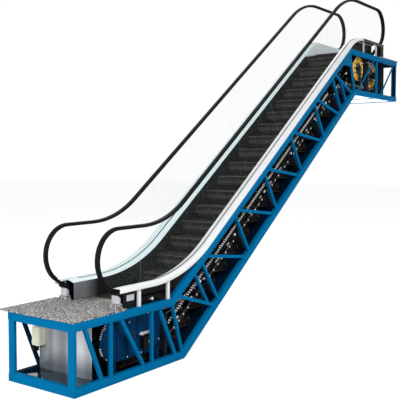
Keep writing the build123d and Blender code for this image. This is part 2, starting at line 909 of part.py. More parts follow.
def return_wheel(side):
    """A plain wheel that turns the chain at the lower end."""
    body = disc(lower_wheel_x, wheel_z, sprocket_radius - 16, *sprocket_y, side)
    for i in range(6):
        angle = 2 * math.pi * i / 6
        x = lower_wheel_x + 140 * math.sin(angle)
        z = wheel_z + 140 * math.cos(angle)
        body -= disc(x, z, 42, *sprocket_y, side, 12)
    return body - disc(lower_wheel_x, wheel_z, 35, *sprocket_y, side)


def tension_carriage():
    """Side plates with the return shaft between them, on feet fixed to the bottom chords."""
    solids = []
    x_low = lower_wheel_x - 443
    x_high = lower_wheel_x + 687
    for side in (-1, 1):
        plate = block(x_low, x_high, 404, 412, 60, truss_depth - 40, side)
        plate += block(x_low, x_high, 412, chord_inner, 60, 90, side)
        solids.append(plate)
    return solids


def handrail_wheel(side):
    """The yellow handrail drive wheel: a rim with a row of holes round a dark hub."""
    body = disc(drive_wheel_x, drive_wheel_z, drive_wheel_radius, 432, 473, side)
    body -= disc(drive_wheel_x, drive_wheel_z, drive_wheel_bore, 432, 473, side)
    for i in range(12):
        angle = 2 * math.pi * i / 12
        x = drive_wheel_x + (drive_wheel_bore + 55) * math.sin(angle)
        z = drive_wheel_z + (drive_wheel_bore + 55) * math.cos(angle)
        body -= disc(x, z, 17, 432, 473, side, 10)
    return body


def handrail_hub(side):
    hub = disc(drive_wheel_x, drive_wheel_z, drive_wheel_bore, 440, 465, side)
    axle = disc(drive_wheel_x, drive_wheel_z, 30, 465, chord_inner, side, 12)
    foot = rise + low_chord
    bracket = block(drive_wheel_x - 40, drive_wheel_x + 40, chord_inner, bar_inner, foot, drive_wheel_z + 57, side)
    return hub + axle + bracket


def drive_machine():
    """Gearbox and motor on a bed between the bottom chords, with the output shaft to the left side."""
    half = machine_length / 2
    deck = rise + low_chord
    bed = box(machine_x - half - 40, upper_end - end_beam_width, -chord_inner, chord_inner, rise + 40, deck)
    gearbox = box(machine_x - half, machine_x + half, -120, 160, deck, deck + machine_height)
    motor = disc(machine_x, output_z, 130, -250, -120)
    shaft = disc(machine_x, output_z, 25, 160, 440)
    pinion = disc(machine_x, output_z, pinion_radius, *drive_chain_y)
    return bed + gearbox + motor + shaft + pinion


def drive_shaft():
    """The main shaft through both sprockets, its bearings on pedestals."""
    x = upper_wheel_x
    z = wheel_z + rise
    body = disc(x, z, 40, -450, 450)
    for side in (-1, 1):
        body += disc(x, z, sprocket_bore, sprocket_y[0] + 2, sprocket_y[1] - 2, side)
        body += block(x - 60, x + 60, 450, chord_inner, z - 60, z + 60, side)
        body += block(x - 50, x + 50, chord_inner, bar_inner, rise + low_chord, z + 60, side)
    return body + disc(x, z, shaft_wheel_radius, *drive_chain_y)


def drive_chain():
    """The chain from the machine's pinion to the main shaft, one closed loop."""
    ax, az, ar = upper_wheel_x, wheel_z + rise, shaft_wheel_radius
    bx, bz, br = machine_x, output_z, pinion_radius
    faces = []
    for grow in (12, 0):
        ra, rb = ar + grow, br + grow
        reach = math.hypot(bx - ax, bz - az)
        tilt = math.atan2(bz - az, bx - ax)
        off = math.acos((ra - rb) / reach)
        top_a = at(ax + ra * math.cos(tilt + off), az + ra * math.sin(tilt + off))
        top_b = at(bx + rb * math.cos(tilt + off), bz + rb * math.sin(tilt + off))
        low_a = at(ax + ra * math.cos(tilt - off), az + ra * math.sin(tilt - off))
        low_b = at(bx + rb * math.cos(tilt - off), bz + rb * math.sin(tilt - off))
        far_a = at(ax - ra * math.cos(tilt), az - ra * math.sin(tilt))
        far_b = at(bx + rb * math.cos(tilt), bz + rb * math.sin(tilt))
        parts = [
            Line(top_a, top_b),
            ThreePointArc(top_b, far_b, low_b),
            Line(low_b, low_a),
            ThreePointArc(low_a, far_a, top_a),
        ]
        faces.append(Face(Wire([p.edge() for p in parts])))
    return across(faces[0] - faces[1], drive_chain_y[0] + 1, drive_chain_y[1] - 1)


def partitions():
    """Sheets across the lower end pit and in front of the driving machine."""
    foot = cross_flat + pan_sheet
    top = truss_depth - 15
    low = box(partition_x, partition_x + 4, -chord_inner + 80, chord_inner, foot, top)
    x = upper_end - upper_partition_inset
    up = box(x, x + 4, -chord_inner, chord_inner, rise + foot, rise + top)
    up -= box(x, x + 4, drive_chain_y[0] - 12, drive_chain_y[1] + 12, output_z - 150, output_z + 250)
    return (low, up)


def pit_floor():
    """The raised floor of the lower end pit: a tray turned down on the soffit."""
    x_low = end_face + end_beam_width
    foot = cross_flat + pan_sheet
    body = box(x_low, partition_x, -chord_inner, chord_inner, foot, pit_floor_level)
    return body - box(x_low + 4, partition_x - 4, 4 - chord_inner, chord_inner - 4, foot, pit_floor_level - 4)


def junction_box():
    return box(partition_x - 125, partition_x, 378, chord_inner, 395, 640)


def relay_box():
    return box(end_face + 362, end_face + 445, chord_inner, bar_inner, 300, 420)


for name, side in sides:
    keep(f"truss_{name}_lower", lower_panel(side))
    keep(f"truss_{name}_incline", incline_panel(side))
    keep(f"truss_{name}_upper", upper_panel(side))
    keep(f"outer_deck_{name}", outer_deck(side))
    keep(f"inner_deck_{name}", inner_deck(side))
    keep(f"skirt_{name}", skirt(side))
    keep(f"glass_{name}", glass(side))
    keep(f"glass_clamp_{name}", glass_clamp(side))
    keep(f"handrail_{name}", handrail(side))
    keep(f"handrail_guide_{name}", guide(side))
    keep(f"track_{name}", *tracks(side))
keep("end_frame_lower", end_frame(end_face, 0))
keep("end_frame_upper", end_frame(upper_end - end_beam_width, rise))
keep("cross_members", *cross_members(), *landing_ties())
pans()
keep("deck_posts", *[s for _, side in sides for s in deck_posts(side)])
keep("balustrade_brackets", *[s for _, side in sides for s in skirt_brackets(side)])
keep("track_brackets", *[s for _, side in sides for s in track_brackets(side)])
low_foot = floor_z + plinth_height
up_foot = floor_z + rise
keep("newel_bases", *[newel_base(*low_newel, low_foot, False, side) for _, side in sides])
up_boxes = [newel_base(*up_newel, up_foot, True, side) for _, side in sides]
keep("newel_housings", *[newel_housing(side) for _, side in sides], *up_boxes)
low_collar = (deck_start - 4, low_newel[1])
up_collar = (upper_end - 835, dive_point(True)[0] - 26)
collars = [newel_collar(*low_collar, False, side) for _, side in sides]
collars += [newel_collar(*up_collar, True, side) for _, side in sides]
keep("handrail_inlets", *collars)
keep("landing_plate_lower", landing_plate(False))
keep("landing_plate_upper", landing_plate(True))
keep("comb_lower", comb(plate_end + tongue, 1, 0))
keep("comb_upper", comb(upper_plate_start - tongue, -1, rise))
step_spots = set_steps()
for name, side in sides:
    keep(f"step_chain_{name}", chain(step_spots, side))
    wheels = [disc(p.X, p.Z, chain_wheel_radius, *chain_wheel_y, side, 8) for _, p, _ in step_spots]
    keep(f"chain_wheels_{name}", *wheels)
keep("drive_sprockets", sprocket(-1), sprocket(1))
keep("drive_shaft", drive_shaft())
keep("drive_chain", drive_chain())
keep("drive_machine", drive_machine())
keep("handrail_drive_wheels", handrail_wheel(-1), handrail_wheel(1))
keep("handrail_drive_hubs", handrail_hub(-1), handrail_hub(1))
keep("return_wheels", return_wheel(-1), return_wheel(1))
keep("return_shaft", disc(lower_wheel_x, wheel_z, 35, -404, 404))
keep("tension_carriage", *tension_carriage())
keep("partition_panel", *partitions())
keep("pit_floor", pit_floor())
keep("junction_box", junction_box())
keep("relay_box", relay_box())
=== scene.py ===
import bpy
import bmesh
import json
import math
from mathutils import Matrix, Vector


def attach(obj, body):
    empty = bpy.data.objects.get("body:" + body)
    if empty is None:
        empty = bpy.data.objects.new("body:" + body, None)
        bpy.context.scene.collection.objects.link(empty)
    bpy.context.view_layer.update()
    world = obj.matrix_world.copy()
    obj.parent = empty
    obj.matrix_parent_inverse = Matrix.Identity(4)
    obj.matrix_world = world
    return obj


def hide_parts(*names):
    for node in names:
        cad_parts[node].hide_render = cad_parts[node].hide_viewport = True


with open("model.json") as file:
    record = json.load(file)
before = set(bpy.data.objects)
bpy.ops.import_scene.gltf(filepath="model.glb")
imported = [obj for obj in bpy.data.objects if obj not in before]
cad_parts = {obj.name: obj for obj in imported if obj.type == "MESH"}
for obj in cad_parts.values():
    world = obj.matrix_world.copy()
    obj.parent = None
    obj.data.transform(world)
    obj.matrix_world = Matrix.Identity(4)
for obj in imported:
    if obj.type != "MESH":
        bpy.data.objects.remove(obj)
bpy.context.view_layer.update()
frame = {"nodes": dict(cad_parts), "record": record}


# Shader nodes and maths: a Value wraps one socket, and each operation adds its own node

def newNode(tree, kind, settings, sockets):
    # Settings are made first; each socket is then given a value, or a link from another socket
    made = tree.nodes.new(kind)
    for key, setting in settings.items():
        setattr(made, key, setting)
    for key, given in sockets.items():
        if isinstance(given, bpy.types.NodeSocket):
            tree.links.new(given, made.inputs[key])
        else:
            made.inputs[key].default_value = given
    return made


class Value:
    def __init__(self, finish, socket):
        self.finish = finish
        self.socket = socket

    def maths(self, operation, first, second=0.0):
        return self.finish.node("ShaderNodeMath", {"operation": operation}, {0: first, 1: second})

    def __add__(self, other):
        return self.maths("ADD", self, other)

    def __radd__(self, other):
        return self.maths("ADD", other, self)

    def __sub__(self, other):
        return self.maths("SUBTRACT", self, other)

    def __rsub__(self, other):
        return self.maths("SUBTRACT", other, self)

    def __mul__(self, other):
        return self.maths("MULTIPLY", self, other)

    def __rmul__(self, other):
        return self.maths("MULTIPLY", other, self)

    def __gt__(self, other):
        return self.maths("GREATER_THAN", self, other)

    def __lt__(self, other):
        return self.maths("LESS_THAN", self, other)

    def __abs__(self):
        return self.maths("ABSOLUTE", self)

    def either(self, other):  # the larger of two masks
        return self.maths("MAXIMUM", self, other)

    def between(self, low, high):  # from 0 at low to 1 at high
        sockets = {"Value": self, "From Min": low, "From Max": high}
        return self.finish.node("ShaderNodeMapRange", {"clamp": True}, sockets)


class Finish:
    def __init__(self, name, colour, roughness, metallic=0.0, coat=0.0, alpha=1.0, gloss=0.5):
        self.material = bpy.data.materials.new(name)
        self.material.use_nodes = True
        self.tree = self.material.node_tree
        self.tree.nodes.clear()
        self.surface = newNode(self.tree, "ShaderNodeBsdfPrincipled", {}, {})
        newNode(self.tree, "ShaderNodeOutputMaterial", {}, {"Surface": self.surface.outputs[0]})
        self.colour = colour
        self.coords = None
        self.set("Base Color", (*colour, 1))
        self.set("Roughness", roughness)
        self.set("Metallic", metallic)
        self.set("Coat Weight", coat)
        self.set("Alpha", alpha)
        self.set("Specular IOR Level", gloss)

    def set(self, socket, value):
        if isinstance(value, Value):
            self.tree.links.new(value.socket, self.surface.inputs[socket])
        else:
            self.surface.inputs[socket].default_value = value

    def node(self, kind, settings, sockets, output=0):
        given = {key: value.socket if isinstance(value, Value) else value for key, value in sockets.items()}
        return Value(self, newNode(self.tree, kind, settings, given).outputs[output])

    def place(self, scale=(1, 1, 1)):
        if self.coords is None:
            self.coords = self.node("ShaderNodeTexCoord", {}, {}, "Object")
        return self.node("ShaderNodeMapping", {}, {"Vector": self.coords, "Scale": scale})

    def along(self, axis):  # one object coordinate, in metres
        return self.node("ShaderNodeSeparateXYZ", {}, {0: self.place()}, axis)

    def facing(self, axis):  # how far the surface faces along an axis
        normal = self.node("ShaderNodeNewGeometry", {}, {}, "Normal")
        return self.node("ShaderNodeSeparateXYZ", {}, {0: normal}, axis)

    def outward(self):  # more than 0 where the surface faces away from the middle, across
        return self.facing("Y") * self.along("Y")

    def noise(self, scale, detail, stretch=(1, 1, 1), rough=0.5):
        sockets = {"Vector": self.place(stretch), "Scale": scale, "Detail": detail, "Roughness": rough}
        return self.node("ShaderNodeTexNoise", {}, sockets)

    def weather(self):  # a slow drift of the colour, and dust in patches
        drift = self.noise(1.6, 4).between(0.35, 0.7)
        dust = self.noise(14, 6, rough=0.65).between(0.5, 0.75)
        return drift, dust

    def mix(self, amount, first, second):  # colours by a factor
        return self.node("ShaderNodeMix", {"data_type": "RGBA"}, {0: amount, 6: first, 7: second}, 2)

    def shade(self, amount, factor):  # own colour, multiplied by a factor where amount is 1
        other = tuple(c * factor for c in self.colour)
        return self.mix(amount, (*self.colour, 1), (*other, 1))

    def dressed(self, colour, roughness, height, strength, distance):
        # The material, once its colour and roughness vary and its surface has relief
        relief = {"Height": height, "Strength": strength, "Distance": distance}
        self.set("Base Color", colour)
        self.set("Roughness", roughness)
        self.set("Normal", self.node("ShaderNodeBump", {}, relief))
        return self.material


# Finishes, and the places in metres where some of them change

zones = {
    "middle": 5.0452, "endFrames": 4.96, "inside": (0.075, 9.98), "insideReach": 0.495, "inwardFrom": 0.045,
    "farBars": 0.5, "panelSides": (0.4, -0.42), "panelFoot": (0.16, 0.4), "upperHalf": (5, 5.1),
    "skirtLow": (1.1, 1.36), "skirtHigh": (7.3, 7.42), "stepRise": 0.17, "stepLine": (3.53, 3.56),
    "farDeck": (0.2, 0.3), "fasciaEnd": (8.15, 8.25), "soffitHigh": (7.7, 7.75),
}


def paint(name, colour, roughness, coat, dirt, gloss=0.3):
    # Sprayed paint: slow colour drift, dust in patches and a fine orange peel
    finish = Finish(name, colour, roughness, coat=coat, gloss=gloss)
    drift, dust = finish.weather()
    colour = finish.shade(drift * 0.5 + dust * 0.5, dirt)
    rough = roughness + dust * 0.14 + finish.noise(60, 2) * 0.06
    return finish.dressed(colour, rough, finish.noise(180, 2), 0.12, 0.0006)


def metal(name, colour, roughness, grime, metallic, stretch=(1, 1, 1), grain=300):
    # Bare metal with a rolled or brushed grain and thin grime
    finish = Finish(name, colour, roughness, metallic=metallic)
    lines = finish.noise(grain, 3, stretch)
    patches = finish.noise(5, 5, rough=0.6).between(0.45, 0.72)
    rough = roughness + lines * 0.12 + patches * 0.12
    return finish.dressed(finish.shade(patches, grime), rough, lines, 0.1, 0.0005)


def zinc(name, colour, metallic):
    # Galvanised steel: crystals of a few shades
    finish = Finish(name, colour, 0.45, metallic=metallic)
    cells = finish.node("ShaderNodeTexVoronoi", {}, {"Vector": finish.place(), "Scale": 90}, "Color")
    grey = finish.node("ShaderNodeRGBToBW", {}, {"Color": cells})
    stain = finish.noise(7, 5).between(0.45, 0.7)
    colour = finish.shade(grey * 0.5 + stain * 0.5, 0.5)
    return finish.dressed(colour, 0.36 + grey * 0.2, grey, 0.06, 0.0004)


def stippled(name):
    # Stamped floor plate: pale, dark and faintly warm specks
    finish = Finish(name, (0.26, 0.245, 0.23), 0.6, gloss=0.1)
    grains = finish.noise(30, 2, rough=0.8).between(0.46, 0.54)
    pale = finish.noise(41, 2, rough=0.7).between(0.5, 0.58)
    warm = finish.noise(24, 2).between(0.42, 0.6)
    ground = finish.mix(warm, (0.17, 0.15, 0.135, 1), (0.33, 0.33, 0.33, 1))
    dark = finish.mix(grains, (0.05, 0.045, 0.05, 1), ground)
    colour = finish.mix(pale * 0.85, dark, (0.57, 0.57, 0.555, 1))
    return finish.dressed(colour, 0.55 + grains * 0.2, finish.noise(330, 2), 0.35, 0.0015)


def clearGlass(name):
    # Clear faces and faint green-blue cut edges
    finish = Finish(name, (0.35, 0.6, 0.62), 0.03, alpha=0.02)
    edge = 1.0 - abs(finish.facing("Y")).between(0.4, 0.8)
    smear = finish.noise(2.5, 4).between(0.4, 0.75)
    finish.set("Alpha", 0.018 + smear * 0.012 + edge * 0.05)
    finish.set("Base Color", finish.mix(edge, (0.2, 0.26, 0.27, 1), (0.35, 0.62, 0.62, 1)))
    finish.set("Roughness", 0.03 + smear * 0.05)
    return finish.material


def rubber(name, colour, roughness=0.55):
    finish = Finish(name, colour, roughness, gloss=0.08)
    scuffs = finish.noise(26, 5, (0.25, 1, 1)).between(0.5, 0.75)
    rough = roughness + scuffs * 0.15
    return finish.dressed(finish.shade(scuffs, 2.0), rough, finish.noise(700, 2), 0.08, 0.0004)


def stepMetal(name):
    # Die-cast step: charcoal, with the ridge tops and noses rubbed brighter, a painted highlight on the noses
    # and across the risers, and painted shade making the frames near black
    finish = Finish(name, (0.02, 0.0175, 0.015), 0.6, gloss=0.05)
    wearLightAndShade = finish.node("ShaderNodeAttribute", {"attribute_name": "wearLightAndShade"}, {}, "Fac")
    patches = finish.noise(9, 5).between(0.35, 0.7)
    dull = finish.shade(patches, 0.6)
    # wear and painted highlight: positive values brighten
    rubbedAndHighlit = finish.mix(wearLightAndShade * (1.0 - patches * 0.35), dull, (0.17, 0.16, 0.142, 1))
    # painted shade: negative values turn the frames and windows near black
    colour = finish.mix(0.0 - wearLightAndShade, rubbedAndHighlit, (0.004, 0.004, 0.005, 1))
    rough = 0.55 + patches * 0.15 - wearLightAndShade * 0.08
    return finish.dressed(colour, rough, finish.noise(420, 3), 0.2, 0.0006)


def pitSheet(name):
    # Polished partition with painted reflections: soft upright bands, paler to the right and darker towards
    # its foot; painted shade on the panel at the upper end
    finish = Finish(name, (0.62, 0.63, 0.65), 0.3, gloss=0.3)
    # painted reflections: paler to the right, soft upright bands, and darker towards the foot, where the
    # floor is reflected
    across = finish.along("Y").between(*zones["panelSides"])
    bands = finish.noise(1.7, 1, (0.05, 2.2, 0.05)).between(0.4, 0.6)
    foot = 1.0 - finish.along("Z").between(*zones["panelFoot"])
    reflectionTone = finish.mix(bands * 0.45 + across * 0.55, (0.1, 0.12, 0.13, 1), (0.82, 0.84, 0.87, 1))
    low = finish.mix(foot * 0.75, reflectionTone, (0.05, 0.07, 0.09, 1))
    # painted shade: the panel at the upper end turns near black
    upperEnd = finish.along("X").between(*zones["upperHalf"])
    colour = finish.mix(upperEnd, low, (0.004, 0.012, 0.022, 1))
    rough = 0.28 + finish.noise(40, 3, (1, 1, 0.1)) * 0.12
    return finish.dressed(colour, rough, finish.noise(3, 2), 0.1, 0.004)


def skirtMetal(name):
    # Dark coated skirt, with painted light on its inner face by the lower comb and over the upper landing's
    # steps
    finish = Finish(name, (0.016, 0.015, 0.013), 0.5, gloss=0.15)
    length = finish.along("X")
    inward = finish.outward() < 0.0
    above = (finish.along("Z") - length * zones["stepRise"]).between(*zones["stepLine"])
    lower = 1.0 - length.between(*zones["skirtLow"])
    # painted light: the inner face turns pale by the lower comb and above the step line towards the upper end
    pale = (lower + length.between(*zones["skirtHigh"]) * above) * inward
    rub = finish.noise(6, 4, (0.1, 1, 2)).between(0.4, 0.7)
    upperHalf = length.between(*zones["upperHalf"])
    light = finish.mix(upperHalf, (0.2, 0.21, 0.22, 1), (0.9, 0.97, 0.98, 1))
    colour = finish.mix(pale, finish.shade(rub, 0.6), light)
    return finish.dressed(colour, 0.45 + rub * 0.2, finish.noise(200, 2, (0.02, 1, 1)), 0.1, 0.0005)


def deckPaint(name):
    # Powder coat: white, cool along the far side, with painted shade on the outer face at the upper end
    finish = Finish(name, (0.84, 0.855, 0.86), 0.4, gloss=0.08)
    drift, dust = finish.weather()
    white = finish.shade(drift * 0.5 + dust * 0.5, 0.93)
    side = finish.along("Y").between(*zones["farDeck"])
    tinted = finish.mix(side * (0.75 + drift * 0.25), white, (0.7, 0.86, 0.86, 1))
    # painted shade: the outer face past the upper fascia turns near black
    shadedEnd = finish.along("X").between(*zones["fasciaEnd"]) * (finish.outward() > 0.3)
    colour = finish.mix(shadedEnd, tinted, (0.012, 0.012, 0.014, 1))
    return finish.dressed(colour, 0.38 + dust * 0.14, finish.noise(180, 2), 0.12, 0.0006)


def trussPaint(name):
    # Blue enamel, with painted shade in dark navy on the steel inside the truss, on its inward faces, on the
    # far bars' sides and on the end frames' backs
    finish = Finish(name, (0.0, 0.152, 0.355), 0.6, gloss=0.02)
    drift, dust = finish.weather()
    blue = finish.shade(drift * 0.5 + dust * 0.5, 0.9)
    length = finish.along("X")
    width = finish.along("Y")
    start, end = zones["inside"]
    inside = (length > start) * (length < end) * (abs(width) < zones["insideReach"])
    farBars = width > zones["farBars"]  # their side faces too
    inward = ((finish.outward() - farBars * 0.3) < -0.15) * (length > zones["inwardFrom"])
    middle = length - zones["middle"]
    backs = ((middle * finish.facing("X")) < -1.5) * (abs(middle) > zones["endFrames"])
    # painted shade: these masks turn the shaded steel dark navy
    dark = inside.either(inward.either(backs))
    colour = finish.mix(dark, blue, (0.0, 0.018, 0.045, 1))
    rough = 0.58 + dust * 0.12 + finish.noise(60, 2) * 0.06
    return finish.dressed(colour, rough, finish.noise(180, 2), 0.12, 0.0006)


def soffitPaint(name):
    # Navy pans, with painted light in pale lavender on the upper landing's underside, where it is lit from
    # below
    finish = Finish(name, (0.0, 0.014, 0.04), 0.45, gloss=0.12)
    drift = finish.noise(1.6, 4).between(0.35, 0.7)
    # painted light: downward faces at the upper landing turn pale lavender
    down = finish.facing("Z").between(-0.2, -0.6)
    pale = down * finish.along("X").between(*zones["soffitHigh"])
    colour = finish.mix(pale, finish.shade(drift, 0.6), (0.86, 0.9, 1.0, 1))
    rough = 0.4 + finish.noise(30, 4) * 0.15
    return finish.dressed(colour, rough, finish.noise(150, 2), 0.1, 0.0006)


materials = {
    "truss_paint": trussPaint("trussBlue"),
    "deck_paint": deckPaint("deckWhite"),
    "skirt_paint": skirtMetal("skirtDark"),
    "glass": clearGlass("balustradeGlass"),
    "guide": rubber("guideBlack", (0.006, 0.006, 0.007), 0.5),
    "handrail": rubber("handrailRubber", (0.003, 0.003, 0.0032)),
    "plate": stippled("floorPlate"),
    "step": stepMetal("stepCasting"),
    "comb": metal("combAluminium", (0.2, 0.187, 0.165), 0.45, 0.6, 0.5, stretch=(0.1, 1, 1)),
    "chain": metal("chainSteel", (0.02, 0.02, 0.022), 0.5, 0.4, 0.4, grain=500),
    "roller": paint("rollerNylon", (0.86, 0.85, 0.84), 0.4, 0.0, 0.88),
    "track": zinc("zincSteel", (0.022, 0.032, 0.05), 0.3),
    "drive_yellow": paint("driveYellow", (0.96, 0.55, 0.03), 0.45, 0.0, 0.85),
    "drive_slate": paint("driveSlate", (0.012, 0.016, 0.026), 0.45, 0.0, 0.6, gloss=0.15),
    "carriage": paint("carriageBlue", (0.0, 0.05, 0.15), 0.5, 0.0, 0.1, gloss=0.04),
    "newel": paint("newelGrey", (0.55, 0.56, 0.585), 0.4, 0.0, 0.9),
    "inlet": rubber("inletBlack", (0.006, 0.006, 0.007), 0.5),
    "soffit": soffitPaint("soffitNavy"),
    "panel": pitSheet("pitPanel"),
    "pit": paint("pitTeal", (0.0, 0.03, 0.05), 0.1, 0.5, 0.6),
    "cabinet": paint("cabinetCream", (0.94, 0.95, 0.76), 0.4, 0.0, 0.94),
}
print("finishes made")


# Working on pieces

def pick(*pieces):
    bpy.ops.object.select_all(action="DESELECT")
    for piece in pieces:
        piece.select_set(True)
    bpy.context.view_layer.objects.active = pieces[0]


def edit(piece):
    pick(piece)
    bpy.ops.object.mode_set(mode="EDIT")
    bpy.ops.mesh.select_all(action="SELECT")


def leave():
    bpy.ops.object.mode_set(mode="OBJECT")


def newPiece(name, mesh):
    piece = bpy.data.objects.new(name, mesh)
    bpy.context.scene.collection.objects.link(piece)
    return piece


def settle(piece, name, slot, *nodes, smooth=0):
    # Gives a finished piece its name, material and slot, and lets it ride on the frame
    if smooth:
        pick(piece)
        bpy.ops.object.shade_smooth_by_angle(angle=math.radians(smooth))
    piece.name = name
    piece.data.name = name
    piece.data.materials.clear()
    piece.data.materials.append(materials[slot])
    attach(piece, "root")
    if nodes:
        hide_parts(*nodes)
    return piece


def applyModifier(piece, kind, **settings):
    pick(piece)
    modifier = piece.modifiers.new(kind.title(), kind)
    for key, setting in settings.items():
        setattr(modifier, key, setting)
    bpy.ops.object.modifier_apply(modifier=modifier.name)


def breakEdges(piece, width, segments=1, angle=35):
    applyModifier(
        piece, "BEVEL", width=width, segments=segments, limit_method="ANGLE", angle_limit=math.radians(angle),
        use_clamp_overlap=True,
    )


def softened(name, node, slot, width):
    # A copy of a CAD node with its edges broken, as a fabricated piece has them
    mesh = frame["nodes"][node].data.copy()
    piece = newPiece(name, mesh)
    reach = [(min(along), max(along)) for along in zip(*(vertex.co for vertex in mesh.vertices))]
    shape = bmesh.new()
    shape.from_mesh(mesh)
    bmesh.ops.remove_doubles(shape, verts=shape.verts, dist=0.00002)
    bmesh.ops.dissolve_limit(shape, angle_limit=math.radians(1), verts=shape.verts, edges=shape.edges)
    shape.to_mesh(mesh)
    shape.free()
    breakEdges(piece, width, 2)
    for vertex in piece.data.vertices:  # no bevel reaches past the node
        vertex.co = [min(max(value, low), high) for value, (low, high) in zip(vertex.co, reach)]
    return settle(piece, name, slot, node, smooth=30)


def ring(points, filled=False):
    # A closed section through the given points
    bpy.ops.object.select_all(action="DESELECT")
    fill = "NGON" if filled else "NOTHING"
    bpy.ops.mesh.primitive_circle_add(vertices=len(points), fill_type=fill)
    piece = bpy.context.object
    for vertex, point in zip(piece.data.vertices, points):
        vertex.co = point
    return piece


def closed(piece):
    # Doubles merged and faces turned outwards, in edit mode
    bpy.ops.mesh.select_all(action="SELECT")
    bpy.ops.mesh.remove_doubles(threshold=0.00002)
    bpy.ops.mesh.normals_make_consistent(inside=False)
    leave()
    return piece


def applied():
    # The newest piece, with its place and size moved into its mesh
    bpy.ops.object.transform_apply(location=True, rotation=True, scale=True)
    return bpy.context.object


def block(low, high, bevel=0.0, segments=1):
    bpy.ops.object.select_all(action="DESELECT")
    middle = [(near + far) / 2 for near, far in zip(low, high)]
    size = [far - near for near, far in zip(low, high)]
    bpy.ops.mesh.primitive_cube_add(size=1, location=middle, scale=size)
    piece = applied()
    if bevel:
        edit(piece)
        bpy.ops.mesh.bevel(offset=bevel, segments=segments, affect="EDGES")
        leave()
    return piece


def plate(outline, yLow, yHigh, bevel=0.0):
    # A side-view outline given thickness across
    piece = ring([(x, yLow, z) for x, z in outline], filled=True)
    edit(piece)
    bpy.ops.mesh.extrude_region_move(TRANSFORM_OT_translate={"value": (0, yHigh - yLow, 0)})
    closed(piece)
    if bevel:
        breakEdges(piece, bevel)
    return piece


def turned(section, centre, steps, angle=360, filled=False):
    # A section of (radius, y) points spun about an axle that runs across, from straight up
    x, z = centre
    piece = ring([(x, y, z + radius) for radius, y in section], filled)
    edit(piece)
    bpy.ops.mesh.spin(steps=steps, angle=math.radians(angle), center=(x, 0, z), axis=(0, 1, 0))
    return closed(piece)


def rod(radius, yLow, yHigh, centre, steps, bevel=0.001):
    bpy.ops.object.select_all(action="DESELECT")
    middle = (centre[0], (yLow + yHigh) / 2, centre[1])
    bpy.ops.mesh.primitive_cylinder_add(
        vertices=steps, radius=radius, depth=yHigh - yLow, location=middle, rotation=(math.pi / 2, 0, 0)
    )
    piece = applied()
    if bevel:
        breakEdges(piece, bevel, 1, 50)
    return piece


def joined(*pieces):
    pick(*pieces)
    if len(pieces) > 1:
        bpy.ops.object.join()
    return pieces[0]


def arrayed(piece, count, step):
    applyModifier(
        piece, "ARRAY", count=count, use_relative_offset=False, use_constant_offset=True,
        constant_offset_displace=step,
    )
    return piece


def copies(pattern, places):
    # The pattern copied to every place, each copy with its own mesh, and joined
    made = []
    for place in places:
        mesh = pattern.data.copy()
        mesh.transform(place)
        made.append(newPiece(pattern.name, mesh))
    bpy.data.objects.remove(pattern)
    return joined(*made)


def flipped(piece):
    # The piece as its own mirror image, across the middle
    piece.data.transform(Matrix.Scale(-1, 4, (0, 1, 0)))
    edit(piece)
    bpy.ops.mesh.flip_normals()
    leave()
    return piece


def mirrored(piece):
    # The piece and its mirror image on the other side of the middle
    return joined(piece, flipped(newPiece(piece.name, piece.data.copy())))


def standing(x, z, turn=0.0, y=0.0):
    # The place of a pattern drawn about its own axle
    return Matrix.Translation((x, y, z)) @ Matrix.Rotation(-turn, 4, "Y")


def onCircle(centre, radius, angle):
    # The point at an angle in degrees, anticlockwise from straight ahead
    turn = math.radians(angle)
    return centre[0] + radius * math.cos(turn), centre[1] + radius * math.sin(turn)


# Routes: straight runs and bends in the side view, in metres

travel = {
    "floor": 0.897, "noseKink": 2.030, "trussKink": 2.100, "rise": 4.030, "incline": 35, "upperEnd": 10.0904,
    "wheelLow": (1.083, 0.4823), "wheelUp": (9.0568, 4.5123), "sprocket": 0.25465, "steps": 50,
    "bendLow": 2.458, "bendUp": 0.849,
}
leanAngle = math.radians(travel["incline"])
slope = math.tan(leanAngle)
run = travel["rise"] / slope
sides = ((-1, "right"), (1, "left"))


def segment(start, heading, length, turn=0, centre=None):
    return {"start": start, "heading": heading, "length": length, "turn": turn, "centre": centre}


def bend(start, centre, turn, heading):
    radius = (Vector(start) - Vector(centre)).length
    return segment(Vector(start), Vector(heading), radius * abs(turn), turn, Vector(centre))


def lengthOf(route):
    return sum(part["length"] for part in route)


def rounded(points, radii):
    # A chain of runs and bends through the corner points
    route = []
    here = Vector(points[0])
    for before, corner, after, radius in zip(points, points[1:], points[2:], radii):
        goesIn = (Vector(corner) - Vector(before)).normalized()
        goesOut = (Vector(after) - Vector(corner)).normalized()
        turn = math.atan2(goesIn.x * goesOut.y - goesIn.y * goesOut.x, goesIn.dot(goesOut))
        reach = radius * math.tan(abs(turn) / 2)
        start = Vector(corner) - goesIn * reach
        side = 1 if turn > 0 else -1
        centre = start + Vector((-goesIn.y, goesIn.x)) * radius * side
        route.append(segment(here, goesIn, (start - here).length))
        route.append(segment(start, goesIn, radius * abs(turn), turn, centre))
        here = Vector(corner) + goesOut * reach
    last = Vector(points[-1]) - here
    route.append(segment(here, last.normalized(), last.length))
    return route


def traced(line, start, end, back=False):
    # A flat run, the incline and a flat run again
    level, drop, lowRadius, upRadius = line
    kink = travel["noseKink"] + (level + drop) / slope
    low = travel["floor"] + level
    points = [(start, low), (kink, low), (kink + run, low + travel["rise"]), (end, low + travel["rise"])]
    radii = [lowRadius, upRadius]
    if back:
        points.reverse()
        radii.reverse()
    return rounded(points, radii)


def spot(route, reach):
    # The point and heading at a distance along the route, round and round
    reach = reach % lengthOf(route)
    for part in route:
        if reach <= part["length"]:
            break
        reach -= part["length"]
    if not part["turn"]:
        return part["start"] + part["heading"] * reach, part["heading"]
    swing = Matrix.Rotation(part["turn"] * reach / part["length"], 2)
    return part["centre"] + swing @ (part["start"] - part["centre"]), swing @ part["heading"]


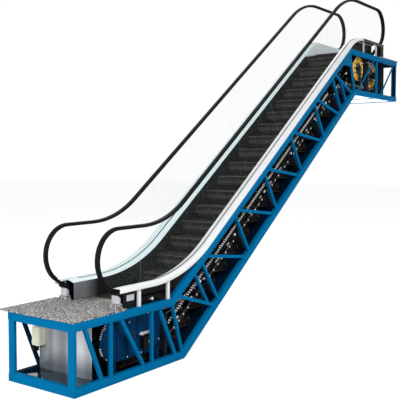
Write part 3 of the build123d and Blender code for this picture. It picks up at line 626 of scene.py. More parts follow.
def swept(section, route, y, arcStep, filled):
    # A section of (across, outwards) points led along the route, in bends of so many degrees a step
    start, heading = route[0]["start"], route[0]["heading"]
    out = Vector((-heading.y, heading.x))
    points = [(start.x + out.x * away, y + across, start.y + out.y * away) for across, away in section]
    piece = ring(points, filled)
    edit(piece)
    for part in route:
        if part["turn"]:
            steps = max(2, round(abs(math.degrees(part["turn"])) / arcStep))
            centre = (part["centre"].x, 0, part["centre"].y)
            bpy.ops.mesh.spin(steps=steps, angle=part["turn"], center=centre, axis=(0, 1, 0))
        elif part["length"] > 0.0005:
            move = part["heading"] * part["length"]
            bpy.ops.mesh.extrude_region_move(TRANSFORM_OT_translate={"value": (move.x, 0, move.y)})
    return closed(piece)


def concentric(level, drop):
    fall = drop * math.cos(leanAngle)
    return (level, drop, travel["bendLow"] + fall, travel["bendUp"] - fall)


lines = {  # height over the floor, drop under the nose line, and the lower and upper bends
    "chain": (-0.160, 0.37967, 1.400, 0.850),
    "back": (-0.6693, 0.5176, 1.000, 0.500),
    "handrail": concentric(1.006, -1.127),
    "deck": concentric(0.261, -0.152),
}


# CAD nodes: each takes its own finish, and the steelwork gets broken edges

slotOf = {each["node"]: each["material_slot"] for each in frame["record"]["subparts"]}
for node, body in frame["nodes"].items():
    body.data.materials.clear()
    body.data.materials.append(materials[slotOf[node]])

edgeWidth = {
    "truss": 0.004, "deck": 0.0012, "landing": 0.003,
    "worked": {
        "deck_posts": 0.003, "newel_bases": 0.006, "newel_housings": 0.004, "handrail_inlets": 0.004,
        "drive_sprockets": 0.003, "handrail_drive_wheels": 0.003, "handrail_drive_hubs": 0.005,
        "drive_machine": 0.006, "return_wheels": 0.003, "cross_members": 0.002, "track_brackets": 0.002,
        "balustrade_brackets": 0.002, "partition_panel": 0.001, "pit_floor": 0.002, "junction_box": 0.006,
        "relay_box": 0.004, "drive_shaft": 0.003,
    },
}
for side in ("left", "right"):
    for part in ("lower", "incline", "upper"):
        softened(f"truss_{side}_{part}_steel", f"truss_{side}_{part}", "truss_paint", edgeWidth["truss"])
    softened(f"outer_deck_{side}_sheet", f"outer_deck_{side}", "deck_paint", edgeWidth["deck"])
for part in ("lower", "upper"):
    softened(f"end_frame_{part}_steel", f"end_frame_{part}", "truss_paint", edgeWidth["truss"])
    softened(f"floor_plate_{part}", f"landing_plate_{part}", "plate", edgeWidth["landing"])
for node, width in edgeWidth["worked"].items():
    softened(f"{node}_worked", node, slotOf[node], width)
print("steelwork softened")


# Step band

stepShape = {
    "nose": -0.328, "rear": 0.066, "top": 0.150, "plate": 0.132, "groove": 0.141, "halfWidth": 0.348,
    "ridges": 58, "pitch": 0.012, "ridge": 0.006, "margin": 0.003, "sink": 0.001,
    "nosing": (0.012, 0.014, 0.0006, 0.003), "behindNose": 0.006, "sweep": 38, "sweepSteps": 5,
    "skin": (0.006, 0.012),
    "frame": (
        (-0.285, 0.132), (0.04, 0.132), (0.018, -0.018), (-0.018, -0.024), (-0.126, -0.124), (-0.172, -0.122),
    ),
    "window": ((-0.235, 0.112), (-0.02, 0.112), (-0.035, 0.02), (-0.13, -0.07)), "windowProud": 0.0015,
    "frameAt": (0.330, 0.338), "boss": 0.022, "bossProud": 0.004, "axle": 0.012, "axleHalf": 0.360,
    "brace": (-0.19, -0.175, 0.09), "trailWheel": (-0.150, -0.100), "trailRadius": 0.030,
    "trailAt": (0.314, 0.330), "clear": 0.2, "slack": 0.01, "lowerReach": 0.4,
}
# Per part: wear; wear and painted highlight on the nosing; the painted highlight band across the risers;
# painted shade below 0 on the frames and windows
stepWearLightAndShade = {
    "plate": 0, "ridge": 0.22, "nosing": 0.65, "skin": 0, "rib": 0.12, "frame": -0.8, "window": -0.5,
    "boss": 0.1, "axle": 0.4, "bandAt": 15.2, "bandReach": 7.0, "band": 0.5,
}


def markWearLightAndShade(piece, amount):
    # How far the surface is rubbed bright, with painted highlight on the noses, and painted shade below 0
    values = piece.data.attributes.new("wearLightAndShade", "FLOAT", "POINT")
    values.data.foreach_set("value", [amount] * len(piece.data.vertices))
    return piece


def paintedRiserBand(piece, corner):
    # A painted highlight in a band across the riser's middle, where its curve would catch the light
    values = []
    for vertex, wearLightAndShade in zip(piece.data.vertices, piece.data.attributes["wearLightAndShade"].data):
        drop = math.degrees(math.atan2(corner[1] - vertex.co.z, corner[0] - vertex.co.x))
        inBand = max(0, 1 - abs(drop - stepWearLightAndShade["bandAt"]) / stepWearLightAndShade["bandReach"])
        values.append(wearLightAndShade.value + stepWearLightAndShade["band"] * inBand)
    piece.data.attributes["wearLightAndShade"].data.foreach_set("value", values)


def makeTread(shape, half, first):
    nose, rear, top, groove = shape["nose"], shape["rear"], shape["top"], shape["groove"]
    base = block((nose + shape["behindNose"], -half, shape["plate"]), (rear, half, groove))
    sink = shape["sink"]
    bar = block((nose + sink, first, groove - sink), (rear, first + shape["ridge"], top))
    bars = arrayed(bar, shape["ridges"], (0, shape["pitch"], 0))
    length, depth, under, bevel = shape["nosing"]
    nosing = block((nose, -half, top - depth), (nose + length, half, top - under), bevel)
    return [markWearLightAndShade(base, stepWearLightAndShade["plate"]), markWearLightAndShade(bars, stepWearLightAndShade["ridge"]), markWearLightAndShade(nosing, stepWearLightAndShade["nosing"])]


def makeRiser(shape, half, first):
    # The riser is drawn straight up from the tread's rear corner, spun to its place
    corner = (shape["rear"], shape["top"])
    radius = shape["rear"] - shape["nose"]
    face, back = (radius - depth for depth in shape["skin"])
    low, last = face - shape["sink"], first + shape["ridge"]
    arc = (corner, shape["sweepSteps"], shape["sweep"])
    skin = turned([(back, -half), (back, half), (face, half), (face, -half)], *arc, True)
    markWearLightAndShade(skin, stepWearLightAndShade["skin"])
    rib = turned([(low, first), (low, last), (radius, last), (radius, first)], *arc, True)
    ribs = markWearLightAndShade(arrayed(rib, shape["ridges"], (0, shape["pitch"], 0)), stepWearLightAndShade["rib"])
    move = Matrix.Translation((corner[0], 0, corner[1]))
    swing = move @ Matrix.Rotation(math.radians(-90), 4, "Y") @ move.inverted()
    for piece in (skin, ribs):
        piece.data.transform(swing)
        paintedRiserBand(piece, corner)
    return [skin, ribs]


def makeStep():
    shape = stepShape
    half = shape["halfWidth"]
    first = shape["margin"] - half
    parts = makeTread(shape, half, first) + makeRiser(shape, half, first)
    inner, outer = shape["frameAt"]
    proud, bossProud = shape["windowProud"], shape["bossProud"]
    for yLow, yHigh in ((inner, outer), (-outer, -inner)):
        parts.append(markWearLightAndShade(plate(shape["frame"], yLow, yHigh), stepWearLightAndShade["frame"]))
        lining = plate(shape["window"], yLow - proud, yHigh + proud, 0.0012)
        parts.append(markWearLightAndShade(lining, stepWearLightAndShade["window"]))
        boss = rod(shape["boss"], yLow - bossProud, yHigh + bossProud, shape["trailWheel"], 10)
        parts.append(markWearLightAndShade(boss, stepWearLightAndShade["boss"]))
    axle = rod(shape["axle"], -shape["axleHalf"], shape["axleHalf"], (0, 0), 10)
    parts.append(markWearLightAndShade(axle, stepWearLightAndShade["axle"]))
    start, end, foot = shape["brace"]
    parts.append(markWearLightAndShade(block((start, -inner, foot), (end, inner, shape["plate"]), 0.002), stepWearLightAndShade["frame"]))
    return joined(*parts)


def tipped(halfTurns, share, lean):
    # How far a step has turned over, on its way round a wheel
    return -math.pi * (halfTurns + share) + lean * min(1, 3 * share, 3 - 3 * share)


def stepPlaces():
    # Up the incline, round the upper wheel, back under the steps and round the lower wheel
    low, up = travel["wheelLow"], travel["wheelUp"]
    top = traced(lines["chain"], low[0], up[0])
    back = traced(lines["back"], low[0], up[0], back=True)
    overUp = bend((up[0], up[1] + travel["sprocket"]), up, -math.pi, (1, 0))
    overLow = bend((low[0], low[1] - travel["sprocket"]), low, -math.pi, (-1, 0))
    loop = top + [overUp] + back + [overLow]
    topLength, upLength, backLength, lowLength = map(lengthOf, (top, [overUp], back, [overLow]))
    whole = topLength + upLength + backLength + lowLength
    pitch = whole / travel["steps"]
    lean = math.asin((stepShape["clear"] - stepShape["rear"]) / travel["sprocket"])
    places = []
    for number in range(travel["steps"]):
        reach = number * pitch
        onTop = reach < topLength + stepShape["slack"]
        point = spot(loop, min(reach, topLength) if onTop else reach)[0]
        group, turn = "return", math.pi
        if onTop:
            group, turn = "incline", 0.0
            if point.x < travel["trussKink"] + stepShape["lowerReach"]:
                group = "lower"
            elif point.x >= travel["trussKink"] + run:
                group = "upper"
        elif reach < topLength + upLength:
            turn = tipped(0, (reach - topLength) / upLength, lean)
        elif reach >= whole - lowLength:
            turn = tipped(1, (reach - whole + lowLength) / lowLength, lean)
        places.append((group, point, turn))
    return loop, pitch, places


loop, stepPitch, places = stepPlaces()
stepPattern = makeStep()
for group in ("lower", "incline", "upper", "return"):
    pattern = newPiece("stepPattern", stepPattern.data.copy())
    spots = [standing(point.x, point.y, turn) for name, point, turn in places if name == group]
    settle(copies(pattern, spots), f"steps_{group}_ribbed", "step", f"steps_{group}")
bpy.data.objects.remove(stepPattern)
print("steps placed", len(places), round(stepPitch, 5))


# Rollers and wheels: a nylon tyre over a dished steel centre, in shares of the radius and depth

wheelShape = {"edge": 0.18, "bore": 0.55, "lip": 0.6, "centre": (0.56, 1.4), "cap": (0.3, 0.4)}


def makeWheel(radius, yLow, yHigh, steps):
    edge = (yHigh - yLow) * wheelShape["edge"]
    bore, lip = radius * wheelShape["bore"], radius * wheelShape["lip"]
    tyre = turned(
        [
            (bore, yLow + edge), (lip, yLow), (radius - edge, yLow), (radius, yLow + edge),
            (radius, yHigh - edge), (radius - edge, yHigh), (lip, yHigh), (bore, yHigh - edge),
        ],
        (0, 0), steps,
    )
    share, sunk = wheelShape["centre"]
    centre = rod(radius * share, yLow + edge * sunk, yHigh - edge * sunk, (0, 0), 10, 0)
    share, sunk = wheelShape["cap"]
    cap = rod(radius * share, yLow + edge * sunk, yHigh - edge * sunk, (0, 0), 8, edge * sunk)
    return joined(tyre, centre, cap)


trailSpots = []
for name, point, turn in places:
    swing = Matrix.Rotation(turn, 2) @ Vector(stepShape["trailWheel"])
    trailSpots.append(standing(point.x + swing.x, point.y + swing.y, turn))
trail = copies(makeWheel(stepShape["trailRadius"], *stepShape["trailAt"], 12), trailSpots)
settle(mirrored(trail), "trailing_wheels", "roller", "steps_incline", smooth=40)


# Step chains

chainShape = {
    "half": 0.015, "waist": 0.72, "plates": (0.378, 0.382, 0.394, 0.398), "pin": 0.007, "pads": 3,
    "padSize": (0.023, 0.0035, 0.026), "padFoot": 0.002, "wheel": 0.038, "wheelAt": (0.360, 0.378),
    "linksPerStep": 3, "shift": 0.0022, "returning": (0.4, 0.8),
}


def linkOutline(length, half):
    # Round ends and a slim waist, from pin to pin
    points = []
    for centre, first in ((length, 90), (0, 270)):
        for step in range(5):
            points.append(onCircle((centre, 0), half, first - step * 45))
        waist = math.copysign(half * chainShape["waist"], math.sin(math.radians(first - 180)))
        points.append((length * 0.5, waist))
    return points


def makeChain(side):
    # On the way back under the steps each link has one pad instead of three
    shape = chainShape
    linkPitch = stepPitch / shape["linksPerStep"]
    after, before = shape["returning"]
    start, end = lengthOf(loop[:5]) + after, lengthOf(loop) - before
    inner, outer, pins, pads = [], [], [], []
    for number in range(travel["steps"] * shape["linksPerStep"]):
        reach = number * linkPitch
        here, ahead = spot(loop, reach)[0], spot(loop, (number + 1) * linkPitch)[0]
        turn = math.atan2(ahead.y - here.y, ahead.x - here.x)
        shift = shape["shift"] if number % 2 else 0
        inner.append(standing(here.x, here.y, turn, shift * 0.4))
        outer.append(standing(here.x, here.y, turn, -shift * 0.4))
        pins.append(standing(here.x, here.y))
        for nth in range(1 if start < reach < end else shape["pads"]):
            middle, heading = spot(loop, (number + (nth + 0.5) / shape["pads"]) * linkPitch)
            pads.append(standing(middle.x, middle.y, math.atan2(heading.y, heading.x)))
    outline = linkOutline(linkPitch, shape["half"])
    innerLow, innerHigh, outerLow, outerHigh = shape["plates"]
    chain = joined(
        copies(plate(outline, innerLow, innerHigh), inner),
        copies(plate(outline, outerLow, outerHigh), outer),
        copies(rod(shape["pin"], innerLow - 0.001, outerHigh + 0.003, (0, 0), 8, 0), pins),
    )
    long, thick, high = shape["padSize"]
    foot = shape["padFoot"]
    pad = copies(block((-long / 2, outerHigh, foot), (long / 2, outerHigh + thick, foot + high)), pads)
    return (flipped(chain), flipped(pad)) if side < 0 else (chain, pad)


for side, name in sides:
    chain, pad = makeChain(side)
    settle(chain, f"step_chain_{name}_links", "chain", f"step_chain_{name}")
    settle(pad, f"chain_pads_{name}", "roller", f"step_chain_{name}")
    wheelSpots = [standing(point.x, point.y) for _, point, _ in places]
    low, high = sorted(side * reach for reach in chainShape["wheelAt"])
    wheels = copies(makeWheel(chainShape["wheel"], low, high, 16), wheelSpots)
    settle(wheels, f"chain_wheels_{name}_turned", "roller", f"chain_wheels_{name}", smooth=40)
print("chains and wheels placed")


# Handrails, with sections in millimetres

handrailShape = {
    "y": 0.4525, "newelLow": (0.876, 1.513), "newelUp": (9.1744, 5.543), "radius": 0.390, "leaves": 148,
    "thick": 0.0165, "driveWheel": (8.1964, 4.583), "driveRadius": 0.245, "driveLean": 15, "foot": 0.060,
    "radii": (0.3, 0.2615, 1.2, 0.3),
    "section": (
        (24, -14), (34, -14), (38.6, -11), (40, -5), (40, 2), (37.5, 8), (32, 12.4), (22, 15.4), (10, 16.5),
        (-10, 16.5), (-22, 15.4), (-32, 12.4), (-37.5, 8), (-40, 2), (-40, -5), (-38.6, -11), (-34, -14),
        (-24, -14), (-24, -8), (-30, -8), (-30, 2), (30, 2), (30, -8), (24, -8),
    ),
    "guide": (
        (-27, 1), (27, 1), (27, -7), (17, -7), (17, -31), (6, -31), (6, -24), (-6, -24), (-6, -31),
        (-17, -31), (-17, -7), (-27, -7),
    ),
}


def handrailRoute():
    # Over the newels and back under the decks, past the drive wheel
    shape = handrailShape
    radius, dive = shape["radius"], math.radians(180 - shape["leaves"])
    lowX, lowZ = shape["newelLow"]
    upX, upZ = shape["newelUp"]
    leaveLow = (lowX - radius * math.sin(dive), lowZ - radius * math.cos(dive))
    leaveUp = (upX + radius * math.sin(dive), upZ - radius * math.cos(dive))
    driveX, driveZ = shape["driveWheel"]
    wrap, off = shape["driveRadius"] + shape["thick"], math.radians(shape["driveLean"])
    reach = wrap * math.tan((leanAngle + off) / 2)
    crest = (
        driveX - wrap * math.sin(leanAngle) + reach * math.cos(leanAngle),
        driveZ + wrap * math.cos(leanAngle) + reach * math.sin(leanAngle),
    )
    fall = math.tan(dive)
    along = (crest[1] - leaveUp[1] + fall * (leaveUp[0] - crest[0])) / (fall + math.tan(off))
    dip = (crest[0] + along, crest[1] - along * math.tan(off))
    footZ = travel["floor"] + shape["foot"]
    footX = crest[0] - (crest[1] - footZ) / slope
    turnX = leaveLow[0] + (leaveLow[1] - footZ) / fall
    turn = -math.radians(shape["leaves"])
    out = traced(lines["handrail"], lowX, upX) + [bend((upX, upZ + radius), (upX, upZ), turn, (1, 0))]
    back = rounded([leaveUp, dip, crest, (footX, footZ), (turnX, footZ), leaveLow], shape["radii"])
    return out, back + [bend(leaveLow, (lowX, lowZ), turn, (-math.cos(dive), math.sin(dive)))]


def sideRails(node, ending, slot, section, route, arcStep, filled):
    # A section led along the route on both sides, in place of the CAD nodes
    points = [(across / 1000, outwards / 1000) for across, outwards in section]
    for side, name in sides:
        rail = swept(points, route, side * handrailShape["y"], arcStep, filled)
        settle(rail, f"{node}_{name}_{ending}", slot, f"{node}_{name}", smooth=35)


handrailOut, handrailBack = handrailRoute()
handrailLoop = handrailOut + handrailBack
sideRails("handrail", "moulded", "handrail", handrailShape["section"], handrailLoop, 3, False)
print("handrails led round")


# Dark seals where the glass enters the decks

sealShape = {"at": (-0.0085, 0.0055), "width": 0.003, "height": 0.004, "start": 1.0755, "end": 8.9749}
for side, name in sides:
    seals = []
    route = traced(lines["deck"], sealShape["start"], sealShape["end"])
    for low in sealShape["at"]:
        high, top = low + sealShape["width"], sealShape["height"]
        strip = [(low, 0.0), (high, 0.0), (high, top), (low, top)]
        seals.append(swept(strip, route, side * handrailShape["y"], 4, True))
    settle(joined(*seals), f"glass_seals_{name}", "inlet")
print("seals laid")


# Handrail guides, under the handrail's lips from newel to newel

exposed = handrailBack[-1:] + handrailOut
sideRails("handrail_guide", "formed", "guide", handrailShape["guide"], exposed, 4, True)


# Fasteners: a hexagon head on a washer, facing out of the side of the truss

def makeBolt(radius, height):
    washer = rod(radius * 1.45, -0.002, 0, (0, 0), 10, 0)
    head = rod(radius, -height, -0.002, (0, 0), 6, radius * 0.12)
    return joined(washer, head)


def bolted(name, slot, places, pattern):
    # The pattern, drawn facing -Y, moved to each place and turned: (x, y, z, direction)
    spots = []
    for *place, towards in places:
        turn = Vector((0, -1, 0)).rotation_difference(Vector(towards))
        spots.append(Matrix.Translation(place) @ turn.to_matrix().to_4x4())
    return settle(copies(pattern, spots), name, slot)


# Tension carriage: round-ended guard plates, feet, springs and a switch box

carriage = {
    "centre": (0.845, 0.482), "radius": 0.285, "low": 0.190, "end": 1.770, "shoulder": (1.15, 0.835),
    "foot": (0.11, 0.1), "outer": 0.412, "inner": 0.404, "lipAbout": (1.15, 0.5), "lipShrink": (0.04, 0.07),
    "lipProud": 0.006, "ribs": (0.86, 1.06, 1.27, 1.55), "rib": (0.018, 0.004, 0.022),
    "ribFrom": (0.25, 0.70), "feet": ((0.7, 0.86), (1.55, 1.74)), "footPad": (0.060, 0.072),
    "footReach": (0.499, 0.470),
    "bolts": (
        (1.115, 0.666), (0.675, 0.269), (1.073, 0.222), (0.652, 0.66), (1.5, 0.72), (1.72, 0.72),
        (1.72, 0.33), (1.35, 0.222), (0.86, 0.73),
    ),
    "spring": (1.335, 1.502, 0.476), "springOut": 0.030, "coil": (0.017, 0.0045), "coils": 9,
    "coilLean": 0.18, "box": (1.325, 1.52, 0.285, 0.440), "boxOut": (0.004, 0.075), "lid": (0.003, 0.006),
    "button": (1.425, 0.368), "buttonOut": 0.080,
    "cover": ((0.955, 0.5095, 0.970), (1.098, 0.516, 1.048)),
}


def makeCarriage():
    shape = carriage
    outer, inner, low, end = shape["outer"], shape["inner"], shape["low"], shape["end"]
    outline = [onCircle(shape["centre"], shape["radius"], 90 + step * 180 / 16) for step in range(17)]
    back, up = shape["foot"]
    outline += [(end - back, low), (end, low + up), (end, shape["shoulder"][1]), shape["shoulder"]]
    aboutX, aboutZ = shape["lipAbout"]
    inX, inZ = shape["lipShrink"]
    lip = [(x - (x - aboutX) * inX, z - (z - aboutZ) * inZ) for x, z in outline]
    parts = [
        plate(outline, -outer, -inner, 0.002),
        plate(lip, -outer - shape["lipProud"], -outer + 0.001, 0.003),
    ]
    width, near, far = shape["rib"]
    foot, top = shape["ribFrom"]
    for left in shape["ribs"]:
        parts.append(block((left, -outer - far, foot), (left + width, -outer - near, top), 0.004, 2))
    under, over = shape["footPad"]
    padReach, webReach = shape["footReach"]
    for left, right in shape["feet"]:
        parts.append(block((left, -padReach, under), (right, -inner, over), 0.003))
        web = block((left + 0.06, -webReach, over - 0.002), (left + 0.075, -inner, low + 0.05), 0.003)
        parts += [web, block((left, -outer, over - 0.002), (right, -inner, low + 0.1), 0.001)]
    return joined(*parts)


def makeSpring(side):
    # Coils on a long bolt, between two cups and against a nut
    start, end, z = carriage["spring"]
    y = side * (carriage["outer"] + carriage["springOut"])
    pitch = (end - start) / carriage["coils"]
    major, minor = carriage["coil"]
    bpy.ops.object.select_all(action="DESELECT")
    bpy.ops.mesh.primitive_torus_add(
        major_segments=16, minor_segments=6, major_radius=major, minor_radius=minor,
        location=(start + pitch / 2, y, z), rotation=(0, math.pi / 2 + carriage["coilLean"], 0),
    )
    parts = [arrayed(applied(), carriage["coils"], (pitch, 0, 0))]
    for left, right, half, bevel, segments in (
        (start - 0.05, end + 0.07, 0.007, 0.004, 2), (end + 0.03, end + 0.05, 0.013, 0.004, 1),
        (start - 0.010, start + 0.002, 0.024, 0.005, 2), (end - 0.002, end + 0.010, 0.024, 0.005, 2),
    ):
        parts.append(block((left, y - half, z - half), (right, y + half, z + half), bevel, segments))
    return joined(*parts)


def makeSwitchBox(side):
    x0, x1, z0, z1 = carriage["box"]
    near, far = (side * (carriage["outer"] + out) for out in carriage["boxOut"])
    over, thick = carriage["lid"]
    body = block((x0, min(near, far), z0), (x1, max(near, far), z1), 0.006, 2)
    face = far + side * thick
    lid = block((x0 - over, min(far, face), z0 - over), (x1 + over, max(far, face), z1 + over), 0.002)
    return joined(body, lid)


settle(mirrored(makeCarriage()), "tension_carriage_plates", "carriage", "tension_carriage")
springs = joined(makeSpring(-1), makeSpring(1))
settle(springs, "tension_springs", "roller", "tension_carriage", smooth=40)
boxes = joined(makeSwitchBox(-1), makeSwitchBox(1))
settle(boxes, "tension_switch_boxes", "inlet", "tension_carriage")
for side, name in ((-1, "near"), (1, "far")):
    x, z = carriage["button"]
    low, high = side * 0.004, side * 0.010
    button = turned([(0.0005, 0), (0.014, 0), (0.022, low), (0.022, high), (0.0005, high)], (0, 0), 12)
    button.data.transform(Matrix.Translation((x, side * (carriage["outer"] + carriage["buttonOut"]), z)))
    settle(button, f"switch_button_{name}", "drive_yellow", "tension_carriage", smooth=40)
face = carriage["outer"] + carriage["lipProud"]
plateBolts = [(x, side * face, z, (0, side, 0)) for x, z in carriage["bolts"] for side in (-1, 1)]
bolted("carriage_bolts", "roller", plateBolts, makeBolt(0.007, 0.007))
settle(mirrored(block(*carriage["cover"], 0.003, 2)), "housing_covers", "newel")


# White rollers round the rim of the guard plates

rimRollers = {"reach": 0.287, "arcs": ((130, 168), (192, 216)), "step": 6, "radius": 0.008, "depth": 0.022}
spots = []
for start, stop in rimRollers["arcs"]:
    for angle in range(start, stop, rimRollers["step"]):
        spots.append(standing(*onCircle(carriage["centre"], rimRollers["reach"], angle)))
low = carriage["inner"]
rim = copies(rod(rimRollers["radius"], low, low + rimRollers["depth"], (0, 0), 8), spots)
settle(mirrored(rim), "guard_rim_rollers", "roller")
print("tension carriage made")


# Plugs in the holes of the drive wheels, and bolts round their hubs

hubs = {  # axle, radius of the circle, how far out, and one in every so many twelfths of it
    "plugs": ((handrailShape["driveWheel"], 0.195, 0.473, 1), (travel["wheelUp"], 0.19465, 0.392, 1)),
    "bolts": ((handrailShape["driveWheel"], 0.105, 0.465, 2), (travel["wheelUp"], 0.13, 0.390, 2)),
}


def roundHubs(circles):
    places = []
    for step in range(12):
        for side in (-1, 1):
            for (x, z), radius, out, every in circles:
                if step % every == 0:
                    angle = math.radians(step * 30)
                    place = (x + radius * math.sin(angle), side * out, z + radius * math.cos(angle))
                    places.append((*place, (0, side, 0)))
    return places


plug = turned([(0.002, -0.002), (0.021, -0.004), (0.024, 0.0), (0.021, 0.001), (0.002, 0.001)], (0, 0), 12)
bolted("drive_wheel_bushes", "inlet", roundHubs(hubs["plugs"]), plug)
bolted("drive_hub_bolts", "newel", roundHubs(hubs["bolts"]), makeBolt(0.010, 0.009))


# Handrail drive wheels: a soft tyre with shallow grooves

tyreShape = {"low": 0.434, "high": 0.471, "radius": 0.2445, "inner": 0.2325, "depth": 0.004, "proud": 0.0005}
low, high, radius = tyreShape["low"], tyreShape["high"], tyreShape["radius"]
section = [(tyreShape["inner"], low)]
for step in range(8):
    grown = radius + tyreShape["proud"] - (0 if step % 2 else tyreShape["depth"])
    section.append((grown, low + step * (high - low) / 7))
section.append((tyreShape["inner"], high))
tyre = turned(section, handrailShape["driveWheel"], 48)
settle(mirrored(tyre), "handrail_drive_tyres", "inlet", "handrail_drive_wheels")


# Motor fins, cowl and flange, and the gearbox's ribs, lid and feet

machine = {
    "at": (9.7904, 4.360), "gearX": (9.6404, 9.9404), "gearY": (-0.120, 0.160), "gearZ": (4.130, 4.550),
    "motor": 0.130, "motorAt": (-0.250, -0.120), "fins": 20, "finHeight": 0.014, "finHalf": 0.0025,
    "bands": (0.06, 0.33), "ribs": (0.05, 0.145, 0.24),
}


def makeMotor(x, z, motor):
    start, end = machine["motorAt"]
    half = machine["finHalf"]
    top = z + motor
    low, high = (x - half, start + 0.035, top - 0.006), (x + half, end - 0.012, top + machine["finHeight"])
    fin = block(low, high, 0.001)
    centre = Matrix.Translation((x, 0, z))
    spots = []
    for step in range(machine["fins"]):
        turn = Matrix.Rotation(math.radians(step * 360 / machine["fins"]), 4, "Y")
        spots.append(centre @ turn @ centre.inverted())
    cowl = [
        (motor * 0.5, -0.252), (motor + 0.006, -0.248), (motor + 0.012, -0.222), (motor + 0.012, -0.214),
        (motor * 0.5, -0.214),
    ]
    flange = [(motor * 0.6, -0.138), (motor + 0.02, -0.138), (motor + 0.022, -0.120), (motor * 0.6, -0.120)]
    terminal = block((x - 0.05, -0.215, z + 0.125), (x + 0.05, -0.145, z + 0.185), 0.006, 2)
    return [copies(fin, spots), turned(cowl, (x, z), 28), turned(flange, (x, z), 28), terminal]


def makeGearbox(x, z):
    (x0, x1), (y0, y1), (z0, z1) = machine["gearX"], machine["gearY"], machine["gearZ"]
    parts = []
    for up in machine["bands"]:
        low, high = (x0 - 0.008, y0 - 0.008, z0 + up), (x1 + 0.008, y1 + 0.008, z0 + up + 0.018)
        parts.append(block(low, high, 0.003))
    for along in machine["ribs"]:
        low, high = (x0 + along, y0 - 0.010, z0), (x0 + along + 0.012, y1 + 0.010, z1 - 0.05)
        parts.append(block(low, high, 0.003))
    lid = block((x0 + 0.03, y0 + 0.03, z1 - 0.001), (x1 - 0.03, y1 - 0.03, z1 + 0.014), 0.004, 2)
    filler = block((x0 + 0.13, 0.0, z1 + 0.012), (x0 + 0.17, 0.04, z1 + 0.045), 0.008, 3)
    boss = [(0.028, 0.158), (0.085, 0.158), (0.08, 0.178), (0.05, 0.190), (0.028, 0.190)]
    parts += [lid, filler, turned(boss, (x, z), 24)]
    for left in (x0 + 0.01, x1 - 0.06):
        parts.append(block((left, y0 - 0.04, z0 - 0.001), (left + 0.05, y1 + 0.04, z0 + 0.022), 0.004))
    return parts


detail = joined(*makeMotor(*machine["at"], machine["motor"]), *makeGearbox(*machine["at"]))
settle(detail, "drive_machine_ribs", slotOf["drive_machine"], smooth=35)


# Split bearing blocks about the shafts, between the wheels and the truss

housingShape = {"y": 0.4525, "bore": 0.042, "face": 0.062, "outer": 0.070, "bevel": 0.006, "bolt": 0.076}


def makeHousing(x, z, width):
    low, high = housingShape["y"], housingShape["y"] + width
    bore, face, outer = housingShape["bore"], housingShape["face"], housingShape["outer"]
    inLow, inHigh = low + housingShape["bevel"], high - housingShape["bevel"]
    section = [(bore, low), (face, low), (outer, inLow), (outer, inHigh), (face, high), (bore, high)]
    body = turned(section, (x, z), 24)
    split = block((x - 0.084, inLow, z - 0.012), (x + 0.084, inHigh, z + 0.012), 0.004, 2)
    away = housingShape["bolt"]
    bolts = [rod(0.010, low + 0.012, high - 0.012, (x + off, z), 6) for off in (-away, away)]
    return joined(body, split, *bolts)


housings = joined(makeHousing(*travel["wheelUp"], 0.040), makeHousing(*travel["wheelLow"], 0.030))
settle(mirrored(housings), "bearing_housings", "drive_slate", smooth=40)
print("drives dressed")


# Bolts of the truss splices, in rows along both chords at each kink, and of the posts' feet

spliceShape = {
    "kinks": (
        (2.100, 0.050, (0.0, leanAngle)), (1.8444, 0.825, (0.0, leanAngle)),
        (7.8554, 4.080, (leanAngle, 0.0)), (7.5998, 4.855, (leanAngle, 0.0)),
    ),
    "reaches": (0.07, 0.12, 0.17), "off": 0.026, "face": 0.568,
}
postFeet = {"at": ((1.166, 0.875), (1.772, 0.875), (8.318, 4.905), (8.978, 4.905)), "off": 0.032, "y": 0.537}


def spliceBolts():
    places = []
    face = spliceShape["face"]
    for x, z, leans in spliceShape["kinks"]:
        for side in (-1, 1):
            for arm, lean in zip((-1, 1), leans):
                for reach in spliceShape["reaches"]:
                    for off in (-spliceShape["off"], spliceShape["off"]):
                        boltX = x + arm * reach * math.cos(lean) - off * math.sin(lean)
                        boltZ = z + arm * reach * math.sin(lean) + off * math.cos(lean)
                        places.append((boltX, side * face, boltZ, (0, side, 0)))
    return places


bolted("splice_bolts", "truss_paint", spliceBolts(), makeBolt(0.008, 0.0065))
footBolts = []
for x, base in postFeet["at"]:
    for off in (-postFeet["off"], postFeet["off"]):
        for side in (-1, 1):
            footBolts.append((x + off, side * postFeet["y"], base + 0.004, (0, 0, 1)))
bolted("post_foot_bolts", "newel", footBolts, makeBolt(0.007, 0.006))


# Strips welded into the corners, between the end frames' posts and the truss sides' posts

cornerStrip = {"low": (-0.0395, 0.498, 0.098), "high": (-0.005, 0.527, 0.777), "bevel": 0.001}
(x0, y0, z0), (x1, y1, z1) = cornerStrip["low"], cornerStrip["high"]
far, rise = travel["upperEnd"] - 0.04, travel["rise"]  # the upper frame is the lower one turned round
lowStrip = block((x0, y0, z0), (x1, y1, z1), cornerStrip["bevel"])
highStrip = block((far - x1, y0, z0 + rise), (far - x0, y1, z1 + rise), cornerStrip["bevel"])
settle(mirrored(joined(lowStrip, highStrip)), "corner_strips", "truss_paint")


# Landing plates: lifting sockets, and a seam between the hatches

